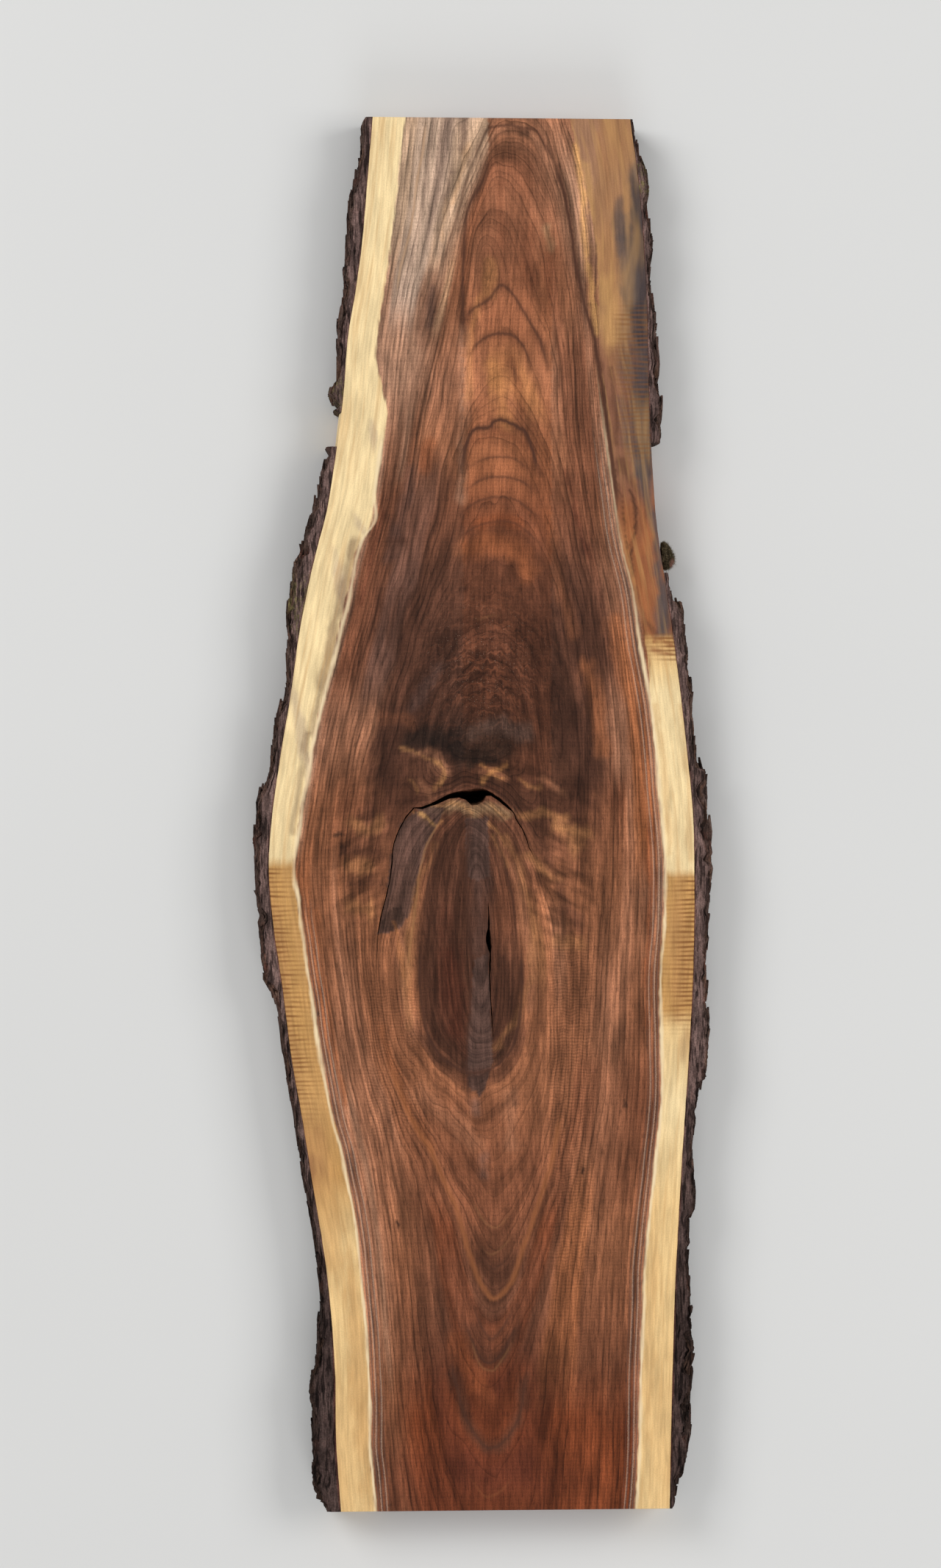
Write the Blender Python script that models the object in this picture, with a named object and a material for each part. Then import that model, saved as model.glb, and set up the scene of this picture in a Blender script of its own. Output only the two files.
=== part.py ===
"""A live-edge walnut slab with its bark, lying on its sawn back.

X is the width, Y the length and Z the thickness. The origin is on the floor, under the middle of the
bounding box. The wood is one grown piece: sapwood, heartwood and an intergrown knot with an open,
arc-shaped crack above it. The bark is left in four strips, and a tuft of moss sits on the bare edge.
"""

import math

import bmesh
import bpy
from mathutils import Vector, noise

MM = 0.001

# Driving dimensions of the board
SLAB_LENGTH = 1137 * MM
SLAB_THICKNESS = 45 * MM
EDGE_BULGE = 1.4 * MM
EDGE_WAVE = 0.8 * MM
EDGE_WAVE_LENGTH = 70 * MM
STATION_STEP = 8.5 * MM

# The bark: its clearance to the wood, its thinnest skin and the ridges along its outside
BARK_GAP = 0.3 * MM
BARK_THINNEST = 1.2 * MM
BARK_INSET = 0.25 * MM
FACE_SHARE = 0.86
RIDGE_PITCH = 15 * MM
RIDGE_WEAVE = 62 * MM
FURROW_SHARE = 0.5
THICK_BARK = 9 * MM
OUTER_STEPS = 8

# The crack above the knot: how deep it goes, and how far it leans to the foot on its way down
CRACK_DEPTH = 31 * MM
CRACK_LEAN = 9 * MM
CRACK_OVERSHOOT = 1 * MM
CRACK_TAPER = 0.62

# The tuft of moss
TUFT_SIZE = (21 * MM, 20 * MM, 23 * MM)
TUFT_HEIGHT = 27 * MM
TUFT_SHAG = 0.22

# Outlines were read off the photograph as (row, column). Its rows run from the top end to the foot.
TOP_ROW, FOOT_ROW = 160, 2055
MIDDLE_ROW = (TOP_ROW + FOOT_ROW) / 2
AXIS_COLUMN = 660.5
PIXEL = SLAB_LENGTH / (FOOT_ROW - TOP_ROW)

LEFT_WOOD = (
    (160, 507), (243, 500), (327, 493), (395, 484), (455, 474), (539, 467), (618, 457), (693, 445),
    (769, 426), (858, 408), (943, 396), (1034, 381), (1116, 370), (1175, 366), (1256, 372),
    (1338, 384), (1439, 397), (1519, 411), (1601, 424), (1726, 444), (1792, 451), (1871, 456),
    (1952, 457), (2055, 464),
)
RIGHT_WOOD = (
    (160, 858), (259, 871), (339, 877), (418, 881), (513, 883), (612, 887), (726, 896), (799, 907),
    (896, 921), (1014, 935), (1110, 944), (1199, 946), (1330, 944), (1444, 938), (1549, 931),
    (1668, 924), (1767, 919), (1871, 916), (2055, 912),
)

# The bark's outer outline, strip by strip
BARK_STRIPS = {
    "bark_left_upper": (-1, (
        (160, 496), (190, 493), (226, 490), (256, 481), (289, 476), (319, 476), (347, 474),
        (375, 470), (390, 473), (413, 469), (438, 462), (465, 459), (483, 462), (511, 462),
        (526, 453), (536, 447), (547, 457), (562, 462),
    )),
    "bark_left_lower": (-1, (
        (608, 445), (629, 441), (655, 437), (686, 430), (713, 424), (728, 416), (752, 416),
        (762, 404), (786, 399), (832, 394), (870, 395), (910, 394), (928, 395), (944, 393),
        (968, 382), (1002, 376), (1059, 369), (1069, 361), (1095, 352), (1155, 351), (1213, 350),
        (1240, 355), (1256, 354), (1309, 360), (1336, 365), (1346, 376), (1408, 384), (1473, 395),
        (1536, 405), (1608, 414), (1673, 429), (1722, 435), (1792, 439), (1806, 434), (1841, 432),
        (1879, 423), (1900, 422), (1925, 428), (1961, 426), (2014, 426), (2041, 430), (2055, 440),
    )),
    "bark_right_upper": (1, (
        (160, 861), (190, 864), (216, 870), (228, 880), (259, 884), (270, 877), (290, 880),
        (310, 884), (331, 887), (351, 883), (400, 882), (420, 890), (440, 892), (456, 897),
        (480, 898), (511, 897), (526, 894), (539, 900), (591, 901), (601, 896),
    )),
    "bark_right_lower": (1, (
        (778, 915), (814, 916), (822, 926), (838, 931), (865, 932), (888, 937), (931, 939),
        (945, 943), (981, 943), (1012, 945), (1038, 948), (1048, 959), (1085, 963), (1118, 967),
        (1150, 970), (1199, 971), (1237, 966), (1279, 965), (1300, 961), (1366, 963), (1386, 966),
        (1426, 966), (1468, 963), (1478, 952), (1519, 948), (1569, 941), (1605, 945), (1640, 947),
        (1660, 938), (1693, 939), (1726, 936), (1774, 940), (1818, 943), (1836, 946), (1880, 942),
        (1916, 938), (1952, 940), (1975, 938), (2012, 928), (2020, 919), (2055, 918),
    )),
}

# The crack's outline on the face: along its upper arc, and back along the broken lip of the knot
CRACK_OUTLINE = (
    (1098, 575), (1089, 593), (1081, 608), (1076, 623), (1073, 643), (1073, 658), (1078, 669),
    (1086, 681), (1098, 693), (1103, 697), (1096, 689), (1089, 680), (1082, 668), (1083, 660),
    (1091, 657), (1095, 650), (1096, 640), (1088, 635), (1084, 625), (1087, 612), (1093, 596),
)

TUFT_AT = (756, 908)

COLOURS = {
    "walnut_wood": ((0.155, 0.066, 0.036), 0.55),
    "walnut_bark": ((0.048, 0.030, 0.024), 0.95),
    "moss": ((0.052, 0.050, 0.022), 1.0),
}


def from_photo(row, column):
    """The place on the board, in metres, of a point read off the photograph."""
    return (column - AXIS_COLUMN) * PIXEL, (MIDDLE_ROW - row) * PIXEL


def row_at(y):
    return MIDDLE_ROW - y / PIXEL


def straight_through(points, row):
    """The column at a row, on straight runs between the points."""
    for (row_0, column_0), (row_1, column_1) in zip(points, points[1:]):
        if row <= row_1:
            share = max(0.0, (row - row_0) / (row_1 - row_0))
            return column_0 + share * (column_1 - column_0)
    return points[-1][1]


def smooth_through(points, row):
    """The column at a row, on a cubic curve through the points."""
    last = len(points) - 1
    i = next((n for n in range(last) if row <= points[n + 1][0]), last - 1)
    (row_0, column_0), (row_1, column_1) = points[i], points[i + 1]

    def slope(n):
        before, after = points[max(n - 1, 0)], points[min(n + 1, last)]
        return (after[1] - before[1]) / (after[0] - before[0])

    run = row_1 - row_0
    t = min(max((row - row_0) / run, 0.0), 1.0)
    curve = (2 * t**3 - 3 * t**2 + 1) * column_0 + (3 * t**2 - 2 * t**3) * column_1
    return curve + run * ((t**3 - 2 * t**2 + t) * slope(i) + (t**3 - t**2) * slope(i + 1))


def stations():
    """The places along the length where the board's cross-section is drawn."""
    count = round(SLAB_LENGTH / STATION_STEP)
    return [SLAB_LENGTH * (n / count - 0.5) for n in range(count + 1)]


STATIONS = stations()
SIDE_HEIGHTS = [SLAB_THICKNESS * share for share in (1.0, 0.75, 0.5, 0.25, 0.0)]


def edge_at_station(side, y, z):
    """How far out the wood reaches on one side, at a station and height."""
    outline = LEFT_WOOD if side < 0 else RIGHT_WOOD
    on_face = abs(from_photo(0, smooth_through(outline, row_at(y)))[0])
    up = 2 * z / SLAB_THICKNESS - 1
    wave = noise.noise(Vector((side * 3.1, y / EDGE_WAVE_LENGTH, z / EDGE_WAVE_LENGTH)))
    below_face = 1 - z / SLAB_THICKNESS
    return on_face + EDGE_BULGE * (1 - up * up) + EDGE_WAVE * wave * below_face


def wood_edge(side, y, z):
    """The same between stations, on the straight facets of the board."""
    step = SLAB_LENGTH / (len(STATIONS) - 1)
    place = min(max((y + SLAB_LENGTH / 2) / step, 0.0), len(STATIONS) - 1.000001)
    n = int(place)
    share = place - n
    near = edge_at_station(side, STATIONS[n], z)
    return near + share * (edge_at_station(side, STATIONS[n + 1], z) - near)


def new_material(name):
    colour, roughness = COLOURS[name]
    material = bpy.data.materials.new(name)
    material.use_nodes = True
    shader = material.node_tree.nodes["Principled BSDF"]
    shader.inputs["Base Color"].default_value = (*colour, 1)
    shader.inputs["Roughness"].default_value = roughness
    material.diffuse_color = (*colour, 1)
    return material


def new_collection(name):
    collection = bpy.data.collections.new(name)
    bpy.context.scene.collection.children.link(collection)
    return collection


def add_object(name, bm, collection, material=None):
    """Closes off a bmesh as an object with its faces pointing out."""
    bmesh.ops.recalc_face_normals(bm, faces=bm.faces)
    mesh = bpy.data.meshes.new(name)
    bm.to_mesh(mesh)
    bm.free()
    if material:
        mesh.materials.append(material)
    made = bpy.data.objects.new(name, mesh)
    collection.objects.link(made)
    return made


def loft(rings):
    """A closed body through rings of equally many points, with flat caps."""
    bm = bmesh.new()
    rows = [[bm.verts.new(point) for point in ring] for ring in rings]
    count = len(rings[0])
    for near, far in zip(rows, rows[1:]):
        for n in range(count):
            after = (n + 1) % count
            bm.faces.new((near[n], near[after], far[after], far[n]))
    caps = [bm.faces.new(rows[0]), bm.faces.new(reversed(rows[-1]))]
    bmesh.ops.triangulate(bm, faces=caps)
    return bm


def slab_ring(y):
    left = [Vector((-wood_edge(-1, y, z), y, z)) for z in SIDE_HEIGHTS]
    right = [Vector((wood_edge(1, y, z), y, z)) for z in reversed(SIDE_HEIGHTS)]
    return left + right


def crack_ring(z):
    """The crack's outline at a height: deeper down it is narrower and nearer the foot."""
    points = [from_photo(row, column) for row, column in CRACK_OUTLINE]
    middle_x = sum(x for x, _ in points) / len(points)
    middle_y = sum(y for _, y in points) / len(points)
    down = (SLAB_THICKNESS - z) / CRACK_DEPTH
    size = 1 - (1 - CRACK_TAPER) * down
    lean = CRACK_LEAN * down
    return [
        Vector((middle_x + (x - middle_x) * size, middle_y + (y - middle_y) * size - lean, z))
        for x, y in points
    ]


def build_slab(parts, cutters):
    slab = add_object("slab", loft([slab_ring(y) for y in STATIONS]), parts, new_material("walnut_wood"))
    heights = (SLAB_THICKNESS + CRACK_OVERSHOOT, SLAB_THICKNESS - CRACK_DEPTH)
    crack = add_object("crack_cutter", loft([crack_ring(z) for z in heights]), cutters)
    crack.hide_render = True
    crack.display_type = "WIRE"
    cut = slab.modifiers.new("crack", "BOOLEAN")
    cut.operation = "DIFFERENCE"
    cut.solver = "EXACT"
    cut.object = crack
    return slab


def ridge(side, y, z):
    """Interlaced ridges that run along the bark: 1 on a ridge, 0 in a furrow."""
    drift = noise.noise(Vector((side * 7.7, y / RIDGE_WEAVE, 0.3)))
    sway = 0.22 * math.sin(2 * math.pi * y / RIDGE_WEAVE + 2.5 * drift)
    place = z / RIDGE_PITCH + drift
    one = 0.5 + 0.5 * math.cos(2 * math.pi * (place + sway))
    other = 0.5 + 0.5 * math.cos(2 * math.pi * (place - sway))
    return max(one, other)


def bark_ring(side, outline, y):
    """One cross-section of a bark strip: down the wood's side, and back up the ridged outside."""
    bottom, top = BARK_INSET, SLAB_THICKNESS - BARK_INSET
    inner = []
    for z in SIDE_HEIGHTS:
        z_in = min(max(z, bottom), top)
        inner.append(Vector((side * (wood_edge(side, y, z) + BARK_GAP), y, z_in)))
    reach = abs(from_photo(0, straight_through(outline, row_at(y)))[0])
    thickness = max(reach - wood_edge(side, y, SLAB_THICKNESS) - BARK_GAP, BARK_THINNEST)
    relief = FURROW_SHARE * min(thickness / THICK_BARK, 1.0)
    outer = []
    for n in range(OUTER_STEPS):
        share = n / (OUTER_STEPS - 1)
        z = bottom + (top - bottom) * share
        depth = thickness * (1 - relief * (1 - ridge(side, y, z)))
        if n == OUTER_STEPS - 1:
            depth = thickness * FACE_SHARE
        depth = max(depth, BARK_THINNEST)
        outer.append(Vector((side * (wood_edge(side, y, z) + BARK_GAP + depth), y, z)))
    return inner + outer


def build_bark(parts):
    for name, (side, outline) in BARK_STRIPS.items():
        top_y = from_photo(outline[0][0], 0)[1]
        foot_y = from_photo(outline[-1][0], 0)[1]
        between = [y for y in STATIONS if foot_y + 2 * MM < y < top_y - 2 * MM]
        rings = [bark_ring(side, outline, y) for y in [foot_y, *between, top_y]]
        add_object(name, loft(rings), parts, new_material("walnut_bark"))


def build_moss_tuft(parts):
    """A shaggy lump, flat where it lies against the wood."""
    centre_x, centre_y = from_photo(*TUFT_AT)
    bm = bmesh.new()
    bmesh.ops.create_icosphere(bm, subdivisions=2, radius=0.5)
    for vert in bm.verts:
        shag = 1 + TUFT_SHAG * noise.noise(vert.co * 5.0)
        x = centre_x + vert.co.x * TUFT_SIZE[0] * shag
        y = centre_y + vert.co.y * TUFT_SIZE[1] * shag
        z = TUFT_HEIGHT + vert.co.z * TUFT_SIZE[2] * shag
        vert.co = Vector((max(x, wood_edge(1, y, z) + BARK_GAP), y, z))
    add_object("moss_tuft", bm, parts, new_material("moss"))


def main():
    for leftover in list(bpy.data.objects):
        bpy.data.objects.remove(leftover, do_unlink=True)
    parts = new_collection("walnut_slab")
    cutters = new_collection("cutters")
    build_slab(parts, cutters)
    build_bark(parts)
    build_moss_tuft(parts)


main()
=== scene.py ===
"""The looks of the live-edge walnut slab: its figured wood, its bark and the tuft of moss.

The board lies on its sawn back, and the camera looks straight down on its face. Places on the face are
given as (row, column) of the photograph, from which they were read.
"""

import math

import bpy
import numpy as np
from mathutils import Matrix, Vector, noise
from mathutils.geometry import delaunay_2d_cdt


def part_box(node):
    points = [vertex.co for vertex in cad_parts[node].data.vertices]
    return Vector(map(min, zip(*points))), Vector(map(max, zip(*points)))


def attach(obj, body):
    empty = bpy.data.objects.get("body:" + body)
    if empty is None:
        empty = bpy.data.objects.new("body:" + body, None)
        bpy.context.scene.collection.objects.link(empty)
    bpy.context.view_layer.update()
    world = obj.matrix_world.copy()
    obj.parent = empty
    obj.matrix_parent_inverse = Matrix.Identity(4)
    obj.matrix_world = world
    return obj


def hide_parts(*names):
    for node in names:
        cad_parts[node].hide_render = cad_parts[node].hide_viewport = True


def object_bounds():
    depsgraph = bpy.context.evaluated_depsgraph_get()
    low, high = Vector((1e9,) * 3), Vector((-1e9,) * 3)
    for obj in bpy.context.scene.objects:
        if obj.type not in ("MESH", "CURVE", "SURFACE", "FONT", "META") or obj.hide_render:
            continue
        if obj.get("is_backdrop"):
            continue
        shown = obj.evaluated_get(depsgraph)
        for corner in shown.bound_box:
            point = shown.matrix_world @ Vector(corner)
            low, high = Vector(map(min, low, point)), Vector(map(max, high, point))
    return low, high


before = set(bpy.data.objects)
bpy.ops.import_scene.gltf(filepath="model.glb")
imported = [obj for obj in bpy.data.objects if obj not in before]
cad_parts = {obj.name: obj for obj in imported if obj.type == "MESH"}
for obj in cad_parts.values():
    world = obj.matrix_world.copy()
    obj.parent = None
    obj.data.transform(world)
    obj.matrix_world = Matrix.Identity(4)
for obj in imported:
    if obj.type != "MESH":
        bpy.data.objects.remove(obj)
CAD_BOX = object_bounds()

MM = 0.001

# The photograph's rows and columns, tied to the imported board
TOP_ROW, FOOT_ROW = 160, 2055
MIDDLE_ROW = (TOP_ROW + FOOT_ROW) / 2
AXIS_COLUMN = 660.5
IMAGE_CENTRE = (1066.5, 640.0)
IMAGE_HEIGHT = 2133
SLAB_LOW, SLAB_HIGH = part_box("slab")
HALF_LENGTH = (SLAB_HIGH[1] - SLAB_LOW[1]) / 2
THICKNESS = SLAB_HIGH[2] - SLAB_LOW[2]
PIXEL = 2 * HALF_LENGTH / (FOOT_ROW - TOP_ROW)

LEFT_WOOD = (
    (160, 507), (243, 500), (327, 493), (395, 484), (455, 474), (539, 467), (618, 457), (693, 445),
    (769, 426), (858, 408), (943, 396), (1034, 381), (1116, 370), (1175, 366), (1256, 372),
    (1338, 384), (1439, 397), (1519, 411), (1601, 424), (1726, 444), (1792, 451), (1871, 456),
    (1952, 457), (2055, 464),
)
RIGHT_WOOD = (
    (160, 858), (259, 871), (339, 877), (418, 881), (513, 883), (612, 887), (726, 896), (799, 907),
    (896, 921), (1014, 935), (1110, 944), (1199, 946), (1330, 944), (1444, 938), (1549, 931),
    (1668, 924), (1767, 919), (1871, 916), (2055, 912),
)

# Growth rings: nested loops round the knot, numbered outwards from its pith. 40 is the pale line
# between heartwood and sapwood, and 48 the edge of the wood under the bark.
RINGS = {
    -2: ((1225, 662), (1270, 665), (1310, 665)),
    4: (
        (1125, 636), (1160, 624), (1200, 617), (1250, 612), (1300, 610), (1350, 613), (1400, 626),
        (1428, 645), (1425, 672), (1380, 684), (1300, 686), (1240, 683), (1180, 673), (1140, 660),
    ),
    10: (
        (1112, 622), (1130, 605), (1160, 592), (1200, 582), (1250, 574), (1300, 570), (1350, 568),
        (1400, 576), (1430, 592), (1450, 615), (1461, 640), (1455, 665), (1440, 690), (1410, 703),
        (1360, 710), (1300, 711), (1240, 705), (1180, 692), (1140, 677), (1118, 660),
    ),
    13: (
        (1510, 641), (1490, 622), (1450, 585), (1400, 553), (1300, 543), (1200, 560), (1150, 580),
        (1490, 668), (1460, 705), (1420, 722), (1370, 728), (1300, 727), (1200, 715), (1150, 698),
    ),
    16: (
        (1580, 670), (1560, 650), (1530, 632), (1505, 608), (1450, 565), (1400, 538), (1300, 527),
        (1560, 690), (1530, 703), (1500, 716), (1450, 735), (1400, 742), (1300, 743),
    ),
    18: (
        (1668, 674), (1640, 650), (1600, 622), (1560, 600), (1530, 583), (1500, 568), (1450, 543),
        (1400, 527), (1300, 519), (1640, 697), (1600, 720), (1560, 733), (1500, 748), (1450, 755),
        (1400, 755), (1300, 752),
    ),
    20: (
        (1070, 645), (1078, 615), (1090, 588), (1102, 562), (1140, 539), (1200, 527), (1250, 517),
        (1300, 512), (1340, 513), (1076, 665), (1088, 684), (1105, 698), (1130, 712), (1160, 725),
        (1200, 742), (1300, 762), (1400, 764), (1460, 760),
    ),
    21: (
        (833, 672), (838, 640), (850, 620), (900, 600), (1000, 567), (1060, 550), (1100, 535),
        (1200, 511), (1300, 506), (1400, 516), (1450, 528), (1500, 549), (1539, 569), (1562, 585),
        (1582, 594), (1601, 601), (1624, 610), (1647, 622), (1690, 634), (1725, 645), (1748, 655),
        (1764, 668), (1755, 690), (1736, 702), (1704, 711), (1647, 730), (1612, 741), (1582, 750),
        (1550, 757), (1509, 764), (1451, 771), (1400, 773), (1300, 771), (1200, 768), (1100, 758),
        (1000, 750), (900, 742), (860, 725), (842, 705),
    ),
    22: (
        (680, 675), (690, 655), (705, 645), (730, 632), (800, 605), (900, 570), (1000, 540),
        (1100, 515), (1200, 500), (1300, 500), (1400, 512), (1500, 543), (1600, 589),
        (690, 700), (710, 715), (740, 734), (800, 760), (900, 776), (1000, 786), (1100, 785),
        (1200, 785), (1300, 783), (1400, 780), (1500, 774), (1600, 757),
    ),
    23.5: (
        (573, 680), (580, 655), (583, 645), (600, 638), (620, 630), (650, 625), (700, 614), (765, 597),
        (800, 584), (840, 570), (880, 557), (920, 545), (960, 533), (1010, 520), (1060, 509),
        (1100, 503), (1150, 497), (1200, 491), (1300, 494), (1400, 507), (1500, 536), (1600, 575),
        (1700, 603), (1750, 615), (1800, 628), (1830, 638), (1855, 650), (1862, 662), (1858, 675),
        (1835, 690), (1815, 700), (1790, 709), (1740, 727), (1700, 740), (1600, 767), (1500, 784),
        (1400, 792), (1300, 797), (1200, 803), (1100, 806), (1000, 805), (900, 793), (800, 775),
        (740, 762), (700, 752), (675, 745), (645, 735), (615, 722), (595, 712), (580, 700),
    ),
    25: (
        (1968, 665), (1950, 645), (1920, 630), (1880, 617), (1840, 606), (1800, 597), (1700, 584),
        (1600, 566), (1950, 687), (1920, 700), (1880, 712), (1840, 722), (1800, 732), (1700, 755),
        (1600, 774), (510, 690), (530, 655), (560, 640), (600, 625), (530, 705), (560, 722),
        (600, 742),
    ),
    25.5: ((2035, 665), (2015, 643), (1980, 630), (2015, 692), (1985, 706)),
    26: (
        (452, 688), (454, 665), (462, 650), (480, 640), (500, 633), (560, 620), (600, 613), (700, 594),
        (800, 568), (900, 538), (1000, 513), (1100, 490), (1200, 480), (1300, 485), (1400, 498),
        (1500, 525), (1600, 553), (1700, 568), (1800, 577), (1900, 588), (1950, 598), (2000, 610),
        (2050, 628),
        (460, 705), (480, 716), (505, 726), (535, 736), (560, 744), (600, 757), (650, 768), (700, 780),
        (800, 802), (900, 817), (1000, 826), (1100, 826), (1200, 822), (1300, 815), (1400, 808),
        (1500, 798), (1600, 784), (1700, 768), (1800, 755), (1900, 743), (2000, 731), (2055, 722),
    ),
    27: (
        (288, 675), (300, 655), (320, 645), (345, 640), (380, 636), (425, 628),
        (290, 690), (320, 705), (350, 715), (380, 725), (410, 735), (450, 748), (500, 759),
    ),
    29: (
        (222, 683), (225, 668), (240, 662), (275, 648), (300, 641), (345, 633), (400, 620), (460, 607),
        (500, 598), (600, 577), (700, 558), (800, 535), (900, 510), (1000, 487), (1100, 468),
        (1200, 461), (1300, 468), (1400, 481), (1500, 505), (1600, 528), (1700, 545), (1800, 555),
        (1900, 566), (2000, 582), (2055, 594),
        (225, 700), (240, 712), (260, 722), (280, 733), (300, 742), (350, 752), (400, 758), (450, 764),
        (500, 770), (600, 778), (700, 795), (800, 815), (900, 830), (1000, 840), (1100, 842),
        (1200, 841), (1300, 835), (1400, 830), (1500, 822), (1600, 806), (1700, 793), (1800, 782),
        (1900, 775), (2000, 768), (2055, 763),
    ),
    33: (
        (165, 690), (172, 672), (190, 664), (210, 655), (235, 645), (280, 627), (330, 612), (390, 600),
        (450, 585), (500, 573), (600, 556), (700, 539), (800, 513), (900, 487), (1000, 465),
        (1100, 448), (1200, 442), (1300, 450), (1400, 465), (1500, 485), (1600, 508), (1700, 523),
        (1800, 532), (1900, 540), (2000, 552), (2055, 561),
        (175, 728), (190, 738), (215, 748), (245, 757), (270, 765), (300, 770), (350, 778), (400, 785),
        (450, 790), (500, 793), (600, 799), (700, 812), (800, 832), (900, 846), (1000, 858),
        (1100, 862), (1200, 864), (1300, 860), (1400, 858), (1500, 853), (1600, 842), (1700, 832),
        (1800, 825), (1900, 820), (2000, 817), (2055, 813),
    ),
    36: ((170, 618), (240, 606), (300, 592), (400, 567), (500, 550), (170, 755), (250, 776), (330, 790)),
    40: (
        (158, 578), (211, 571), (278, 564), (346, 551), (400, 539), (470, 530), (530, 526), (600, 519),
        (675, 509), (749, 488), (821, 474), (898, 454), (989, 431), (1056, 420), (1113, 410),
        (1199, 401), (1279, 413), (1361, 425), (1444, 437), (1527, 453), (1601, 471), (1684, 486),
        (1767, 494), (1862, 501), (1939, 503), (2005, 507), (2055, 511),
        (160, 768), (200, 782), (250, 793), (300, 800), (400, 803), (485, 810), (578, 822), (664, 834),
        (733, 844), (802, 861), (881, 872), (964, 887), (1039, 895), (1130, 903), (1213, 906),
        (1320, 900), (1414, 901), (1502, 901), (1569, 894), (1643, 886), (1726, 878), (1820, 875),
        (1925, 872), (2053, 866),
    ),
    48: (*LEFT_WOOD[::2], LEFT_WOOD[-1], *RIGHT_WOOD[::2]),
}
HEART_EDGE = 40.0
PIXELS_PER_RING = 6.0
# The spacing that the wood's material can show, in pixels from ring to ring
SPACING_LIMITS = (3, 60)
ROW_WEIGHT = 0.42
FIELD_UNIT = 100.0
FIELD_PART = 8000
FIELD_STEP = 2.0
FIELD_SMOOTHING = 0.004


def x_of(column):
    return (column - AXIS_COLUMN) * PIXEL


def y_of(row):
    return (MIDDLE_ROW - row) * PIXEL


def column_of(x):
    return x / PIXEL + AXIS_COLUMN


def row_of(y):
    return MIDDLE_ROW - y / PIXEL


def curve_through(points, rows):
    """The columns at some rows, on a smooth curve through (row, column) points."""
    knots = np.array(points, float)
    slopes = np.gradient(knots[:, 1], knots[:, 0])
    i = np.clip(np.searchsorted(knots[:, 0], rows, side="right") - 1, 0, len(knots) - 2)
    run = knots[i + 1, 0] - knots[i, 0]
    t = np.clip((rows - knots[i, 0]) / run, 0, 1)
    near = (2 * t**3 - 3 * t**2 + 1) * knots[i, 1] + (t**3 - 2 * t**2 + t) * run * slopes[i]
    far = (3 * t**2 - 2 * t**3) * knots[i + 1, 1] + (t**3 - t**2) * run * slopes[i + 1]
    return near + far


def smooth(low, high, value):
    """0 below low, 1 above high, and an S-curve between them."""
    t = np.clip((value - low) / (high - low), 0, 1)
    return t * t * (3 - 2 * t)


def window(value, rise, fall):
    """0, then 1 after a rise, then 0 again after a fall, each of which is given as (from, to)."""
    return smooth(*rise, value) * (1 - smooth(*fall, value))


def lattice(column, row, seed):
    """A repeatable number from -1 to 1 at each whole-numbered place."""
    mixed = (column.astype(np.int64) * 374761393 + row.astype(np.int64) * 668265263 + seed * 974634777)
    mixed = (mixed ^ (mixed >> 13)) * 1274126177 & 0xFFFFFFFF
    return ((mixed ^ (mixed >> 16)) & 0xFFFF) / 32767.5 - 1


def cloud(x, y, seed=0):
    """Smooth noise from -1 to 1 with one lump to a unit."""
    column, row = np.floor(x), np.floor(y)
    across, down = smooth(0, 1, x - column), smooth(0, 1, y - row)
    upper = lattice(column, row, seed) * (1 - across) + lattice(column + 1, row, seed) * across
    lower = lattice(column, row + 1, seed) * (1 - across) + lattice(column + 1, row + 1, seed) * across
    return upper * (1 - down) + lower * down


def rough(x, y, seed=0, octaves=3):
    """Noise of several sizes, from about -1 to 1."""
    total = sum(cloud(x * 2**n, y * 2**n, seed + 17 * n) / 2**n for n in range(octaves))
    return total / (2 - 0.5 ** (octaves - 1))


def inside(points, outline):
    """Which of some points lie inside a closed outline."""
    x, y = points[:, 0], points[:, 1]
    crossed = np.zeros(len(points), bool)
    for (x0, y0), (x1, y1) in zip(outline, np.roll(outline, -1, axis=0)):
        if y0 != y1:
            spans = (y0 > y) != (y1 > y)
            crossed ^= spans & (x < x0 + (y - y0) / (y1 - y0) * (x1 - x0))
    return crossed


def bending(here, guides):
    """The thin-plate spline's kernel between two sets of places."""
    square = ((here[:, None, :] - guides[None, :, :]) ** 2).sum(-1)
    return 0.5 * square * np.log(square + 1e-12)


class RingField:
    """The ring number anywhere on the face, on a thin-plate spline through the traced rings."""

    def __init__(self):
        traced = [(column, row, ring) for ring, places in RINGS.items() for row, column in places]
        traced = np.array(traced, float)
        self.guides = self.scaled(traced[:, 0], traced[:, 1])
        count = len(self.guides)
        system = np.zeros((count + 3, count + 3))
        system[:count, :count] = bending(self.guides, self.guides) + np.eye(count) * FIELD_SMOOTHING
        system[:count, count] = 1
        system[:count, count + 1:] = self.guides
        system[count:, :count] = system[:count, count:].T
        self.weights = np.linalg.solve(system, np.append(traced[:, 2], np.zeros(3)))

    def scaled(self, columns, rows):
        return np.stack([columns, rows * ROW_WEIGHT], -1) / FIELD_UNIT

    def at(self, columns, rows):
        places = self.scaled(columns, rows)
        count = len(self.guides)
        found = np.empty(len(places))
        for start in range(0, len(places), FIELD_PART):
            part = places[start:start + FIELD_PART]
            bent = bending(part, self.guides) @ self.weights[:count]
            found[start:start + FIELD_PART] = bent + self.weights[count] + part @ self.weights[count + 1:]
        return found

    def below(self, columns, rows, depth):
        """The ring number at a depth under the face, and the rings' spacing there, in pixels."""
        face = self.at(columns, rows)
        across = (self.at(columns + FIELD_STEP, rows) - face) / FIELD_STEP
        along = (self.at(columns, rows + FIELD_STEP) - face) / FIELD_STEP
        slope = np.hypot(across, along)
        dip = np.sqrt(np.maximum(PIXELS_PER_RING**-2 - slope**2, 0))
        return face - dip * depth, np.clip(1 / np.maximum(slope, 0.01), *SPACING_LIMITS)


# The slab's mesh

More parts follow.
